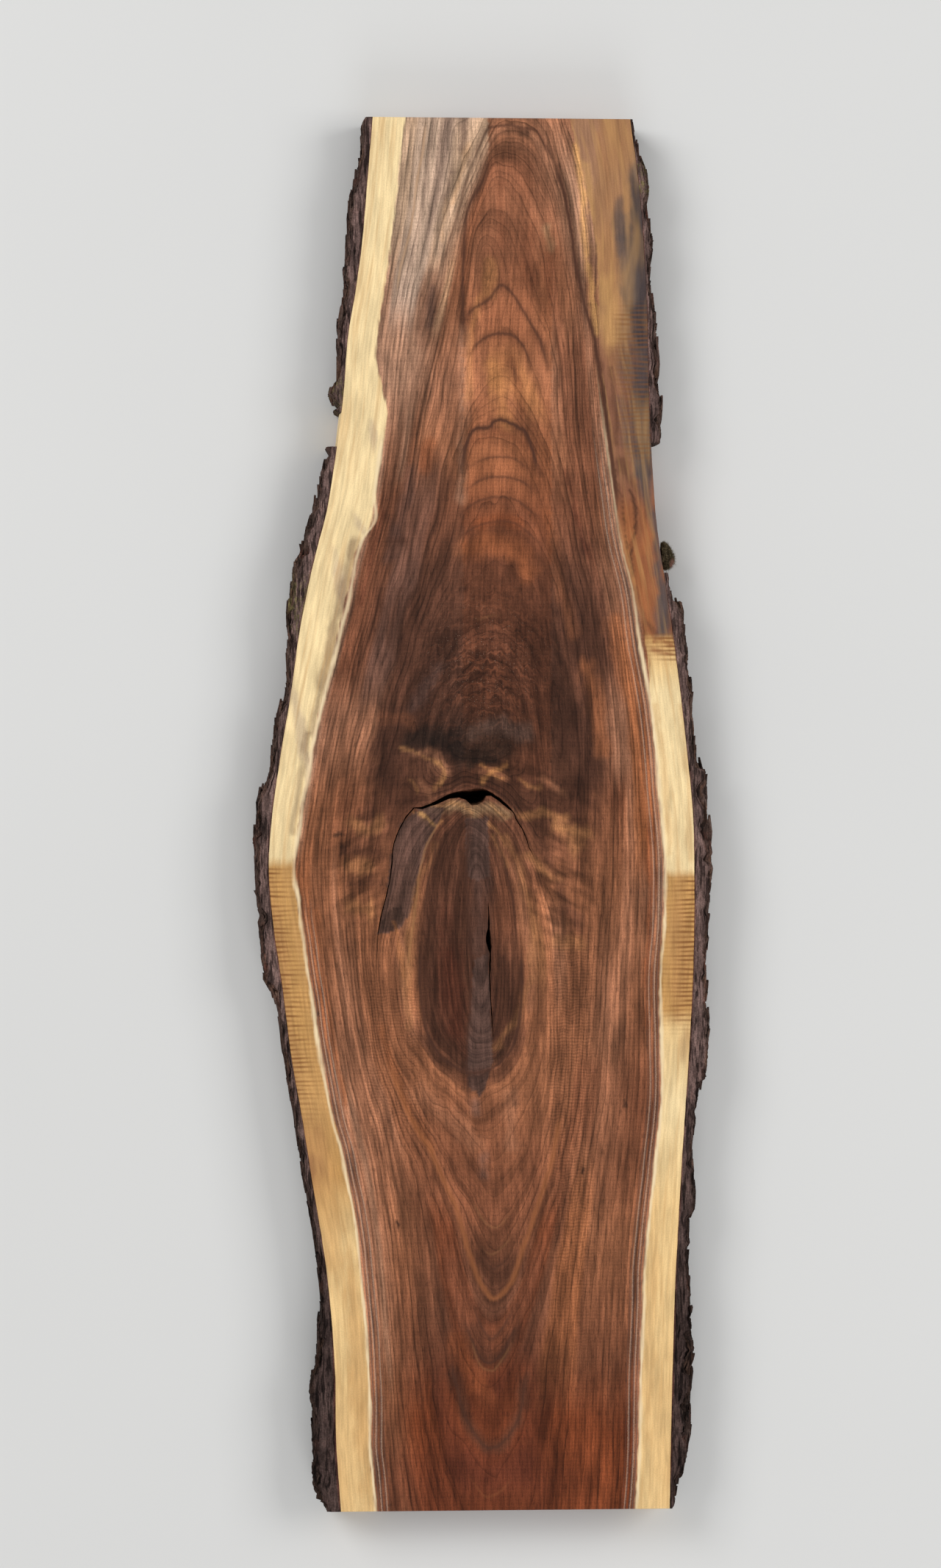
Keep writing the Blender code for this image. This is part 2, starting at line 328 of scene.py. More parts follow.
SIDE_ROUNDING = 0.45 * MM
EDGE_BULGE = 1.4 * MM
EDGE_WAVE = 0.8 * MM
EDGE_WAVE_LENGTH = 70 * MM
EDGE_NIBBLE, NIBBLE_LENGTH, NIBBLE_HEIGHT = 0.22 * MM, 9 * MM, 25 * MM
ROW_STEP, COLUMN_STEP = 3.9, 3.8
FINE_ROWS = (1040, 1480)
FINE_SHARE = 0.76
END_STEPS = 100
# How far the face's points keep from the rim and from the cracks, and the back's points from each other
RIM_CLEAR_SHARE, CRACK_CLEAR = 0.45, 1.0 * MM
BACK_STEP, BACK_MARGIN = 11.0, 9
# Levels down the sides: (height as a share of the thickness, inset as a share of the rounding)
SIDE_LEVELS = (
    (1.0, 1.0), (0.9965, 0.3), (0.989, 0.0), (0.84, 0.0), (0.67, 0.0), (0.5, 0.0), (0.33, 0.0),
    (0.16, 0.0), (0.011, 0.0), (0.0035, 0.3), (0.0, 1.0),
)

# The open crack: down its left hairline the points run from the far end to the crack's tip
LEFT_HAIRLINE = (
    (1322, 511), (1296, 513), (1273, 514), (1253, 517), (1232, 522), (1216, 526), (1199, 530),
    (1176, 533), (1159, 534), (1146, 536), (1133, 541), (1123, 546), (1113, 551), (1108, 555),
    (1099, 563),
)
CRACK_UPPER = (
    (1098, 573), (1089, 593), (1081, 608), (1076, 623), (1073, 643), (1073, 658), (1078, 669),
    (1086, 681), (1097, 693),
)
CRACK_LOWER = (
    (1101, 575), (1094, 594), (1087, 611), (1085, 624), (1088, 634), (1096, 641), (1095, 650),
    (1090, 658), (1083, 661), (1083, 668), (1090, 679), (1101, 692),
)
RIGHT_HAIRLINE = (
    (1103, 697), (1109, 701), (1114, 702), (1121, 706), (1128, 711), (1138, 715), (1143, 717),
    (1154, 720), (1160, 724), (1172, 729),
)
# The crack along the knot's pith: (row, column, width)
PITH_CRACK = (
    (1226, 664, 0.6), (1245, 665, 1.8), (1262, 665, 2.4), (1270, 664.5, 6.5), (1280, 664.5, 8.0),
    (1289, 666, 5.5), (1296, 667, 2.2), (1330, 666, 2.0), (1355, 667, 1.6), (1380, 669, 1.5),
    (1412, 671, 0.6),
)
HAIRLINE_WIDTH = 1.5
CRACK_DEPTH, HAIRLINE_DEPTH, PITH_DEPTH = 31 * MM, 9 * MM, 13 * MM
CRACK_LEAN = 1 * MM
# How far the cracks' walls and floor are darkened: painted shade in the cracks
CRACK_SHADE = 0.1
CRACK_STEP, HAIRLINE_STEP, PITH_STEP = 2.4, 3.12, 2.88
CHANNEL_STEPS = 10
# The share over which a hairline fades, and the gape over which the open crack gets its full depth
HAIRLINE_FADE, GAPE = 0.35, (2, 9)
CRACK_RAGGED, RAGGED_LENGTH = 0.7, 2.7
# How sharply a crack's walls fall, how much narrower it gets, and how uneven its bottom is
WALL_POWER, BOTTOM_NARROWS, BOTTOM_JAG, WALL_JAG = 2.6, 0.35, 0.12, 0.4 * MM


def edge_x(side, rows, height):
    """Where the wood ends on one side, at a height."""
    outline = LEFT_WOOD if side < 0 else RIGHT_WOOD
    on_face = np.abs(x_of(curve_through(outline, rows)))
    up = 2 * height / THICKNESS - 1
    y = y_of(rows)
    wave = np.array([
        noise.noise(Vector((side * 3.1, v / EDGE_WAVE_LENGTH, height / EDGE_WAVE_LENGTH))) for v in y
    ])
    nibble = rough(y / NIBBLE_LENGTH, np.full(len(y), height / NIBBLE_HEIGHT), 5) * EDGE_NIBBLE
    out = on_face + EDGE_BULGE * (1 - up * up) + EDGE_WAVE * wave * (1 - height / THICKNESS) + nibble
    return side * out


def side_rows():
    """The rows of the face's mesh, closer together where the knot is."""
    rows = [TOP_ROW + 0.0]
    while rows[-1] < FOOT_ROW:
        fine = FINE_ROWS[0] < rows[-1] < FINE_ROWS[1]
        rows.append(rows[-1] + ROW_STEP * (FINE_SHARE if fine else 1))
    rows = np.array(rows)
    return TOP_ROW + (rows - TOP_ROW) * (FOOT_ROW - TOP_ROW) / (rows[-1] - TOP_ROW)


SIDE_ROWS = side_rows()


def perimeter(height, inset):
    """The board's outline at a height: down the left, along the foot, up the right, along the head."""
    left = edge_x(-1, SIDE_ROWS, height) + inset
    right = edge_x(1, SIDE_ROWS, height) - inset
    y = np.clip(y_of(SIDE_ROWS), inset - HALF_LENGTH, HALF_LENGTH - inset)
    share = np.linspace(0, 1, END_STEPS + 1)[1:-1]
    foot = np.stack([left[-1] + (right[-1] - left[-1]) * share, np.full(len(share), y[-1])], -1)
    head = np.stack([right[0] + (left[0] - right[0]) * share, np.full(len(share), y[0])], -1)
    down_left = np.stack([left, y], -1)
    up_right = np.stack([right, y], -1)[::-1]
    return np.concatenate([down_left, foot, up_right, head])


def spaced(points, step):
    """Points at even steps along a polyline of any dimension."""
    points = np.array(points, float)
    run = np.append(0, np.cumsum(np.linalg.norm(np.diff(points[:, :2], axis=0), axis=1)))
    count = max(2, round(run[-1] / step))
    places = np.linspace(0, run[-1], count + 1)
    return np.stack([np.interp(places, run, points[:, k]) for k in range(points.shape[1])], -1)


def sides_of(line, width):
    """The two sides of a narrow crack of a varying width along a line."""
    run = np.gradient(line, axis=0)
    across = np.stack([-run[:, 1], run[:, 0]], -1) / np.linalg.norm(run, axis=1)[:, None]
    return line + across * width[:, None] / 2, line - across * width[:, None] / 2


def crack_sections():
    """The crack above the knot, as (upper side, lower side, depth) at stations from left to right."""
    left = spaced(LEFT_HAIRLINE, HAIRLINE_STEP)
    right = spaced(RIGHT_HAIRLINE, HAIRLINE_STEP)
    fade_left = smooth(0, HAIRLINE_FADE, np.linspace(0, 1, len(left)))
    fade_right = smooth(0, HAIRLINE_FADE, np.linspace(1, 0, len(right)))
    left_up, left_low = sides_of(left, HAIRLINE_WIDTH * fade_left)
    right_up, right_low = sides_of(right, HAIRLINE_WIDTH * fade_right)
    upper = spaced(CRACK_UPPER, CRACK_STEP)
    run = np.array(CRACK_LOWER, float)
    along = np.append(0, np.cumsum(np.linalg.norm(np.diff(run, axis=0), axis=1)))
    places = np.linspace(0, along[-1], len(upper))
    lower = np.stack([np.interp(places, along, run[:, k]) for k in (0, 1)], -1)
    gape = smooth(*GAPE, np.linalg.norm(upper - lower, axis=1))
    depth = [
        HAIRLINE_DEPTH * fade_left, HAIRLINE_DEPTH + (CRACK_DEPTH - HAIRLINE_DEPTH) * gape,
        HAIRLINE_DEPTH * fade_right,
    ]
    return (
        np.concatenate([left_up, upper, right_up]), np.concatenate([left_low, lower, right_low]),
        np.concatenate(depth),
    )


def pith_sections():
    """The crack along the knot's pith, given in the same way."""
    line = spaced(PITH_CRACK, PITH_STEP)
    upper, lower = sides_of(line[:, :2], line[:, 2])
    return upper, lower, PITH_DEPTH * smooth(0, 2.5, line[:, 2])


def ragged(sections, seed):
    """Roughens a crack's sides, and turns them from (row, column) into metres."""
    upper, lower, depth = sections
    place = np.arange(len(upper))
    taper = smooth(0, 3, np.minimum(place, place[::-1]))
    gap = np.linalg.norm(upper - lower, axis=1)
    reach = np.minimum(CRACK_RAGGED, gap * 0.3) * taper
    made = []
    for n, line in enumerate((upper, lower)):
        rows = line[:, 0] + reach * rough(place / RAGGED_LENGTH, place * 0, seed + n)
        columns = line[:, 1] + reach * rough(place / RAGGED_LENGTH, place * 0, seed + n + 9)
        made.append(np.stack([x_of(columns), y_of(rows)], -1))
    for end in (0, -1):
        made[0][end] = made[1][end] = (made[0][end] + made[1][end]) / 2
    return made[0], made[1], depth * taper


def face_points(loops):
    """Places all over the face, clear of the outlines that the mesh has to keep."""
    rows, columns = [], []
    for n, row in enumerate(SIDE_ROWS[1:-1]):
        fine = FINE_ROWS[0] < row < FINE_ROWS[1]
        low, high = (curve_through(o, np.array([row]))[0] for o in (LEFT_WOOD, RIGHT_WOOD))
        count = round((high - low) / (COLUMN_STEP * (FINE_SHARE if fine else 1)))
        share = (np.arange(count) + (0.25 if n % 2 else 0.75)) / count
        columns.append(low + (high - low) * share)
        rows.append(np.full(count, row))
    rows, columns = np.concatenate(rows), np.concatenate(columns)
    points = np.stack([x_of(columns), y_of(rows)], -1)
    ends = (np.flip(edge_x(side, SIDE_ROWS, THICKNESS)) for side in (-1, 1))
    low, high = (np.interp(points[:, 1], np.flip(y_of(SIDE_ROWS)), end) for end in ends)
    clear = COLUMN_STEP * PIXEL * RIM_CLEAR_SHARE + SIDE_ROUNDING
    keep = (points[:, 0] > low + clear) & (points[:, 0] < high - clear)
    for loop in loops:
        box_low, box_high = loop.min(0) - 2 * CRACK_CLEAR, loop.max(0) + 2 * CRACK_CLEAR
        close = keep & ((points > box_low) & (points < box_high)).all(1)
        index = np.flatnonzero(close)
        gap = np.sqrt(((points[index][:, None] - loop[None]) ** 2).sum(-1)).min(1)
        keep[index[(gap < CRACK_CLEAR) | inside(points[index], loop)]] = False
    return points[keep]


def triangles_in(points, loops):
    """Triangles between points, without what lies outside the first loop or inside the others."""
    all_points = np.concatenate([*loops, points])
    edges, start = [], 0
    for loop in loops:
        count = len(loop)
        edges += [(start + n, start + (n + 1) % count) for n in range(count)]
        start += count
    made = delaunay_2d_cdt([Vector(p) for p in all_points], edges, [], 0, 1e-9, False)
    corners = np.array(made[2])
    if len(made[0]) != len(all_points):
        raise ValueError("outlines cross in the slab's mesh")
    middle = all_points[corners].mean(1)
    keep = inside(middle, loops[0])
    for loop in loops[1:]:
        keep &= ~inside(middle, loop)
    return corners[keep]


def channel(sections, first, upper_ids, lower_ids):
    """A crack's walls and bottom. Returns new vertices and faces, numbered from first."""
    upper, lower, depth = sections
    shares = np.linspace(0, 1, CHANNEL_STEPS + 1)
    sink = 1 - np.abs(2 * shares - 1) ** WALL_POWER
    vertices, ids = [], []
    for n in range(len(upper)):
        row = [upper_ids[n]]
        for share, down in zip(shares[1:-1], sink[1:-1]):
            across = 0.5 + (share - 0.5) * (1 - BOTTOM_NARROWS * down)
            place = upper[n] + (lower[n] - upper[n]) * across
            jag = noise.noise(Vector((n * 0.37, share * 9, 4.4)))
            deep = depth[n] * down * (1 + BOTTOM_JAG * jag)
            lean = CRACK_LEAN * deep / CRACK_DEPTH
            row.append(first + len(vertices))
            vertices.append((place[0] + WALL_JAG * jag * down, place[1] - lean, THICKNESS - deep))
        row.append(lower_ids[n])
        ids.append(row)
    faces = []
    for near, far in zip(ids, ids[1:]):
        for n in range(CHANNEL_STEPS):
            corners = [near[n], near[n + 1], far[n + 1], far[n]]
            corners = [c for k, c in enumerate(corners) if c != corners[k - 1]]
            if len(set(corners)) > 2:
                faces.append(tuple(dict.fromkeys(corners)))
    return vertices, faces


def build_slab_mesh():
    """The whole board: face, cracks, sides, ends and back, as one closed mesh."""
    cracks = [ragged(crack_sections(), 31), ragged(pith_sections(), 57)]
    rim = perimeter(THICKNESS, SIDE_ROUNDING)
    loops = [np.concatenate([up[:-1], low[:0:-1]]) for up, low, _ in cracks]
    inner = face_points(loops)
    corners = triangles_in(inner, [rim, *loops])
    flat = np.concatenate([rim, *loops, inner])
    vertices = [np.column_stack([flat, np.full(len(flat), THICKNESS)])]
    faces = [tuple(c) for c in corners.tolist()]
    total = len(flat)
    start = len(rim)
    for sections, loop in zip(cracks, loops):
        count = len(sections[0])
        upper_ids = [start + n for n in range(count)]
        lower_ids = [start] + [start + len(loop) - n for n in range(1, count - 1)] + [start + count - 1]
        more, walls = channel(sections, total, upper_ids, lower_ids)
        vertices.append(np.array(more))
        faces += walls
        total += len(more)
        start += len(loop)
    count = len(rim)
    above = list(range(count))
    for share, inset in SIDE_LEVELS[1:]:
        height = THICKNESS * share
        ring = perimeter(height, SIDE_ROUNDING * inset)
        vertices.append(np.column_stack([ring, np.full(count, height)]))
        below = list(range(total, total + count))
        total += count
        for n in range(count):
            after = (n + 1) % count
            faces.append((above[n], below[n], below[after], above[after]))
        above = below
    back_rim = ring
    spots = []
    for row in np.arange(TOP_ROW + BACK_MARGIN, FOOT_ROW - BACK_MARGIN + 1, BACK_STEP):
        low, high = (curve_through(o, np.array([row]))[0] for o in (LEFT_WOOD, RIGHT_WOOD))
        columns = np.arange(low + BACK_MARGIN, high - BACK_MARGIN + 1, BACK_STEP)
        spots += [(x_of(column), y_of(row)) for column in columns]
    spots = np.array(spots)
    corners = triangles_in(spots, [back_rim])
    vertices.append(np.column_stack([spots, np.zeros(len(spots))]))
    numbers = np.array(above + list(range(total, total + len(spots))))
    faces += [tuple(c) for c in numbers[corners[:, ::-1]].tolist()]
    mesh = bpy.data.meshes.new("slab_wood")
    mesh.from_pydata(np.concatenate(vertices).tolist(), [], faces)
    mesh.validate()
    return mesh


# Colours, chosen from the photograph, as sRGB

PALETTE = {
    "cream": (247, 220, 168), "low_cream": (236, 200, 142), "pale_line": (246, 222, 180),
    "gold": (204, 156, 98), "amber": (176, 126, 82), "honey": (162, 114, 76), "olive": (138, 110, 84),
    "sand": (192, 162, 139), "tan": (190, 152, 120), "fawn": (158, 118, 96), "grey_brown": (166, 144, 130),
    "light_rust": (154, 106, 82), "rosewood": (141, 95, 72), "walnut": (130, 84, 60),
    "chestnut": (115, 71, 51), "cocoa": (98, 62, 47), "umber": (74, 46, 35), "ink": (40, 28, 23),
    "rust": (153, 94, 62), "orange": (166, 102, 62), "ember": (136, 76, 46), "mahogany": (112, 58, 34),
    "deep_red": (80, 40, 28), "plum": (100, 78, 72), "dull_plum": (80, 60, 55), "slate": (88, 72, 68),
    "rose": (168, 128, 106), "glint": (150, 98, 58), "black": (12, 10, 9), "stain": (88, 78, 76),
    "right_sap": (166, 121, 86), "bar_sap": (200, 152, 92),
    "bar": (128, 82, 44), "dark_stain": (64, 56, 58), "tuft_pink": (150, 112, 98),
    "bark": (76, 59, 53), "bark_brown": (98, 70, 54), "bark_grey": (120, 102, 92),
    "bark_red": (108, 62, 50), "bark_deep": (24, 18, 16), "bark_face": (112, 90, 85),
    "cambium": (92, 44, 32), "lichen": (112, 104, 62), "moss_dark": (66, 56, 42), "moss_pale": (128, 114, 86),
}

# The heartwood's colours down the board: (ring, side, stops), blended from ring to ring
HEART_WASHES = (
    (23, None, ((500, "rosewood"), (620, "walnut"), (700, "chestnut"), (780, "cocoa"), (880, "umber"),
                (1060, "umber"), (1120, "cocoa"), (1220, "walnut"), (1480, "walnut"), (1640, "chestnut"),
                (1780, "cocoa"), (1880, "deep_red"), (2000, "deep_red"), (2055, "mahogany"))),
    (29, None, ((160, "walnut"), (230, "chestnut"), (420, "walnut"), (520, "rosewood"), (600, "walnut"),
                (700, "chestnut"), (800, "cocoa"), (900, "cocoa"), (990, "rosewood"), (1090, "chestnut"),
                (1200, "walnut"), (1340, "rosewood"), (1520, "rosewood"), (1700, "walnut"),
                (1850, "chestnut"), (1930, "mahogany"), (2055, "mahogany"))),
    (35.5, "left", ((160, "sand"), (300, "sand"), (400, "fawn"), (520, "fawn"), (610, "rosewood"),
                    (680, "chestnut"), (800, "chestnut"), (910, "chestnut"), (1000, "light_rust"),
                    (1100, "walnut"), (1300, "walnut"), (1500, "light_rust"), (1780, "light_rust"),
                    (1880, "walnut"), (1990, "chestnut"), (2055, "chestnut"))),
    (35.5, "right", ((160, "light_rust"), (240, "fawn"), (320, "fawn"), (400, "rosewood"),
                     (480, "rosewood"), (600, "chestnut"), (690, "walnut"), (800, "rosewood"),
                     (900, "rust"), (1120, "rust"), (1220, "rosewood"), (1360, "walnut"),
                     (1500, "chestnut"), (1700, "walnut"), (1850, "chestnut"), (1950, "mahogany"),
                     (2055, "mahogany"))),
)

# Bands that follow the rings: (colour, amount, side, rings, rows, softness in rings and rows)
BANDS = (
    ("grey_brown", 0.8, "left", (35.8, 41), (100, 430), (0.5, 40)),
    ("sand", 0.6, "left", (33.7, 35.3), (140, 345), (0.3, 20)),
    ("plum", 0.55, "left", (36.2, 37.4), (100, 330), (0.4, 40)),
    ("plum", 0.35, "left", (38.2, 38.9), (100, 420), (0.3, 40)),
    ("tan", 0.5, "left", (30.8, 32.3), (360, 450), (0.3, 25)),
    ("chestnut", 0.5, "left", (27, 28.2), (340, 440), (0.3, 30)),
    ("chestnut", 0.5, "left", (30.8, 32.3), (560, 660), (0.4, 25)),
    ("fawn", 0.5, "left", (32.8, 34.8), (550, 650), (0.3, 20)),
    ("plum", 0.35, "left", (26, 30.5), (640, 960), (0.8, 40)),
    ("umber", 0.8, "left", (23.8, 26.3), (950, 1050), (0.3, 18)),
    ("cocoa", 0.5, "left", (21, 25), (820, 960), (0.6, 30)),
    ("rosewood", 0.7, "left", (26.8, 36), (965, 1050), (0.4, 14)),
    ("light_rust", 0.6, "left", (29.6, 31.2), (1180, 1400), (0.4, 50)),
    ("honey", 0.55, "left", (10.8, 12.8), (1240, 1350), (0.6, 40)),
    ("fawn", 0.6, "left", (33.6, 35.4), (1480, 1860), (0.4, 50)),
    ("light_rust", 0.5, "left", (25, 27), (1450, 1560), (0.4, 30)),
    ("rust", 0.55, "left", (36.4, 39.8), (1160, 1430), (0.3, 40)),
    ("umber", 0.5, "right", (33.8, 34.6), (180, 420), (0.3, 40)),
    ("rose", 0.5, "right", (35, 37.5), (190, 430), (0.4, 40)),
    ("chestnut", 0.7, "right", (27.8, 29.3), (345, 450), (0.3, 30)),
    ("honey", 0.6, "right", (24.5, 25.9), (460, 560), (0.3, 25)),
    ("chestnut", 0.75, "right", (27.5, 35), (455, 700), (0.6, 30)),
    ("light_rust", 0.7, "right", (36, 38), (470, 720), (0.3, 40)),
    ("rosewood", 0.5, "right", (30, 35), (760, 850), (0.5, 30)),
    ("umber", 0.6, "right", (20, 24.5), (840, 1080), (0.5, 30)),
    ("light_rust", 0.8, "right", (27.8, 33), (945, 1060), (0.5, 22)),
    ("light_rust", 0.7, "right", (31, 34.2), (1060, 1160), (0.4, 25)),
    ("orange", 0.4, "right", (33, 36.4), (860, 1160), (0.4, 40)),
    ("honey", 0.35, "right", (13, 16), (1240, 1340), (0.6, 40)),
    ("light_rust", 0.6, "right", (18, 21), (1240, 1350), (0.6, 40)),
    ("light_rust", 0.45, "right", (30, 33), (1150, 1330), (0.5, 60)),
    ("chestnut", 0.7, "right", (22.6, 28), (1440, 1560), (0.4, 30)),
    ("chestnut", 0.4, "right", (28, 38), (1440, 1640), (0.5, 40)),
    ("chestnut", 0.35, "right", (19, 24), (1560, 1700), (0.5, 30)),
    ("orange", 0.3, "right", (25.5, 29.5), (1600, 1880), (0.4, 60)),
    ("chestnut", 0.5, None, (17, 19.4), (1560, 1690), (0.5, 20)),
    ("mahogany", 0.55, None, (22, 24.2), (1650, 1880), (0.3, 30)),
    ("cocoa", 0.4, None, (22.2, 23.8), (1700, 1860), (0.3, 30)),
    ("mahogany", 0.6, "left", (26, 27.2), (1880, 2060), (0.3, 40)),
    ("mahogany", 0.5, None, (24.3, 25.2), (1860, 2060), (0.2, 30)),
    ("umber", 0.97, "left", (-6, 9.5), (1080, 1480), (0.8, 16)),
    ("cocoa", 0.85, "right", (-6, 9.5), (1080, 1360), (0.8, 40)),
    ("umber", 0.8, "right", (-6, 9.0), (1330, 1480), (0.6, 40)),
    ("cocoa", 0.7, None, (9.2, 12), (1395, 1480), (0.5, 18)),
    ("deep_red", 0.5, "left", (2, 7), (1230, 1440), (1.0, 30)),
    ("cocoa", 0.6, None, (10, 19), (1070, 1200), (0.8, 26)),
    ("fawn", 0.75, "left", (38.6, 41), (560, 1160), (0.5, 40)),
    ("light_rust", 0.6, "left", (39.0, 41), (1300, 2060), (0.4, 60)),
    ("fawn", 0.75, "right", (38.4, 41), (560, 1260), (0.4, 40)),
    ("light_rust", 0.75, "right", (38.9, 41), (1400, 2060), (0.3, 60)),
)

# The sapwood's colours down each side
SAP_WASHES = {
    "left": ((160, "cream"), (1165, "cream"), (1180, "bar_sap"), (1420, "bar_sap"), (1500, "gold"),
             (1600, "bar_sap"), (1680, "low_cream"), (1900, "low_cream"), (2055, "low_cream")),
    "right": ((160, "right_sap"), (430, "right_sap"), (490, "rosewood"), (650, "rosewood"),
              (710, "rust"), (860, "rust"), (868, "gold"), (905, "low_cream"), (940, "cream"),
              (1182, "cream"), (1194, "bar_sap"), (1375, "bar_sap"), (1400, "low_cream"),
              (1500, "cream"), (1640, "low_cream"), (2055, "low_cream")),
}

# The pale line between heartwood and sapwood, and where the cream sapwood begins
PALE_LEFT = (
    (158, 553), (260, 547), (330, 541), (400, 534), (470, 527), (540, 522), (600, 519), (675, 509),
    (713, 508), (729, 496), (749, 488), (799, 478), (821, 474), (849, 466), (871, 461), (898, 454),
    (989, 431), (1022, 424), (1056, 420), (1094, 411), (1113, 410), (1146, 404), (1176, 400),
    (1199, 401), (1221, 406), (1246, 408), (1279, 413), (1312, 417), (1361, 425), (1403, 430),
    (1444, 437), (1486, 445), (1527, 453), (1560, 463), (1601, 471), (1643, 480), (1684, 486),
    (1726, 490), (1767, 494), (1809, 498), (1862, 501), (1907, 503), (1939, 503), (1970, 503),
    (2005, 507), (2055, 511),
)
PALE_RIGHT = (
    (158, 770), (240, 790), (320, 797), (400, 803), (485, 810), (578, 822), (664, 834), (733, 844),
    (802, 861), (881, 872), (923, 880), (964, 887), (1006, 892), (1039, 895), (1080, 898), (1130, 903),
    (1171, 906), (1213, 906), (1262, 905), (1320, 900), (1414, 901), (1502, 901), (1536, 898),
    (1569, 894), (1601, 891), (1643, 886), (1684, 882), (1726, 878), (1776, 877), (1820, 875),
    (1862, 873), (1925, 872), (1979, 871), (2032, 868), (2053, 866),
)
CREAM_LEFT = (
    (158, 552), (206, 545), (259, 540), (311, 534), (364, 527), (400, 522), (451, 514), (488, 511),
    (529, 520), (555, 526), (590, 523), (622, 517), (665, 512), (700, 507), (725, 500), (742, 488),
    (785, 478), (815, 470), (845, 463), (875, 456), (905, 450), (985, 430), (1022, 423), (1056, 419),
    (1094, 410), (1146, 404), (1176, 400), *PALE_LEFT[23::2],
)
CREAM_RIGHT = (
    (158, 775), (200, 786), (260, 799), (320, 810), (400, 815), (460, 816), (500, 820), (560, 826),
    (640, 834), (715, 844), (760, 852), (820, 868), (880, 881), (964, 887), (1006, 892), (1080, 898),
    (1171, 906), (1213, 906), (1320, 900), (1414, 901), (1502, 901), (1569, 894), (1643, 886),
    (1726, 878), (1820, 875), (1925, 872), (2053, 866),
)

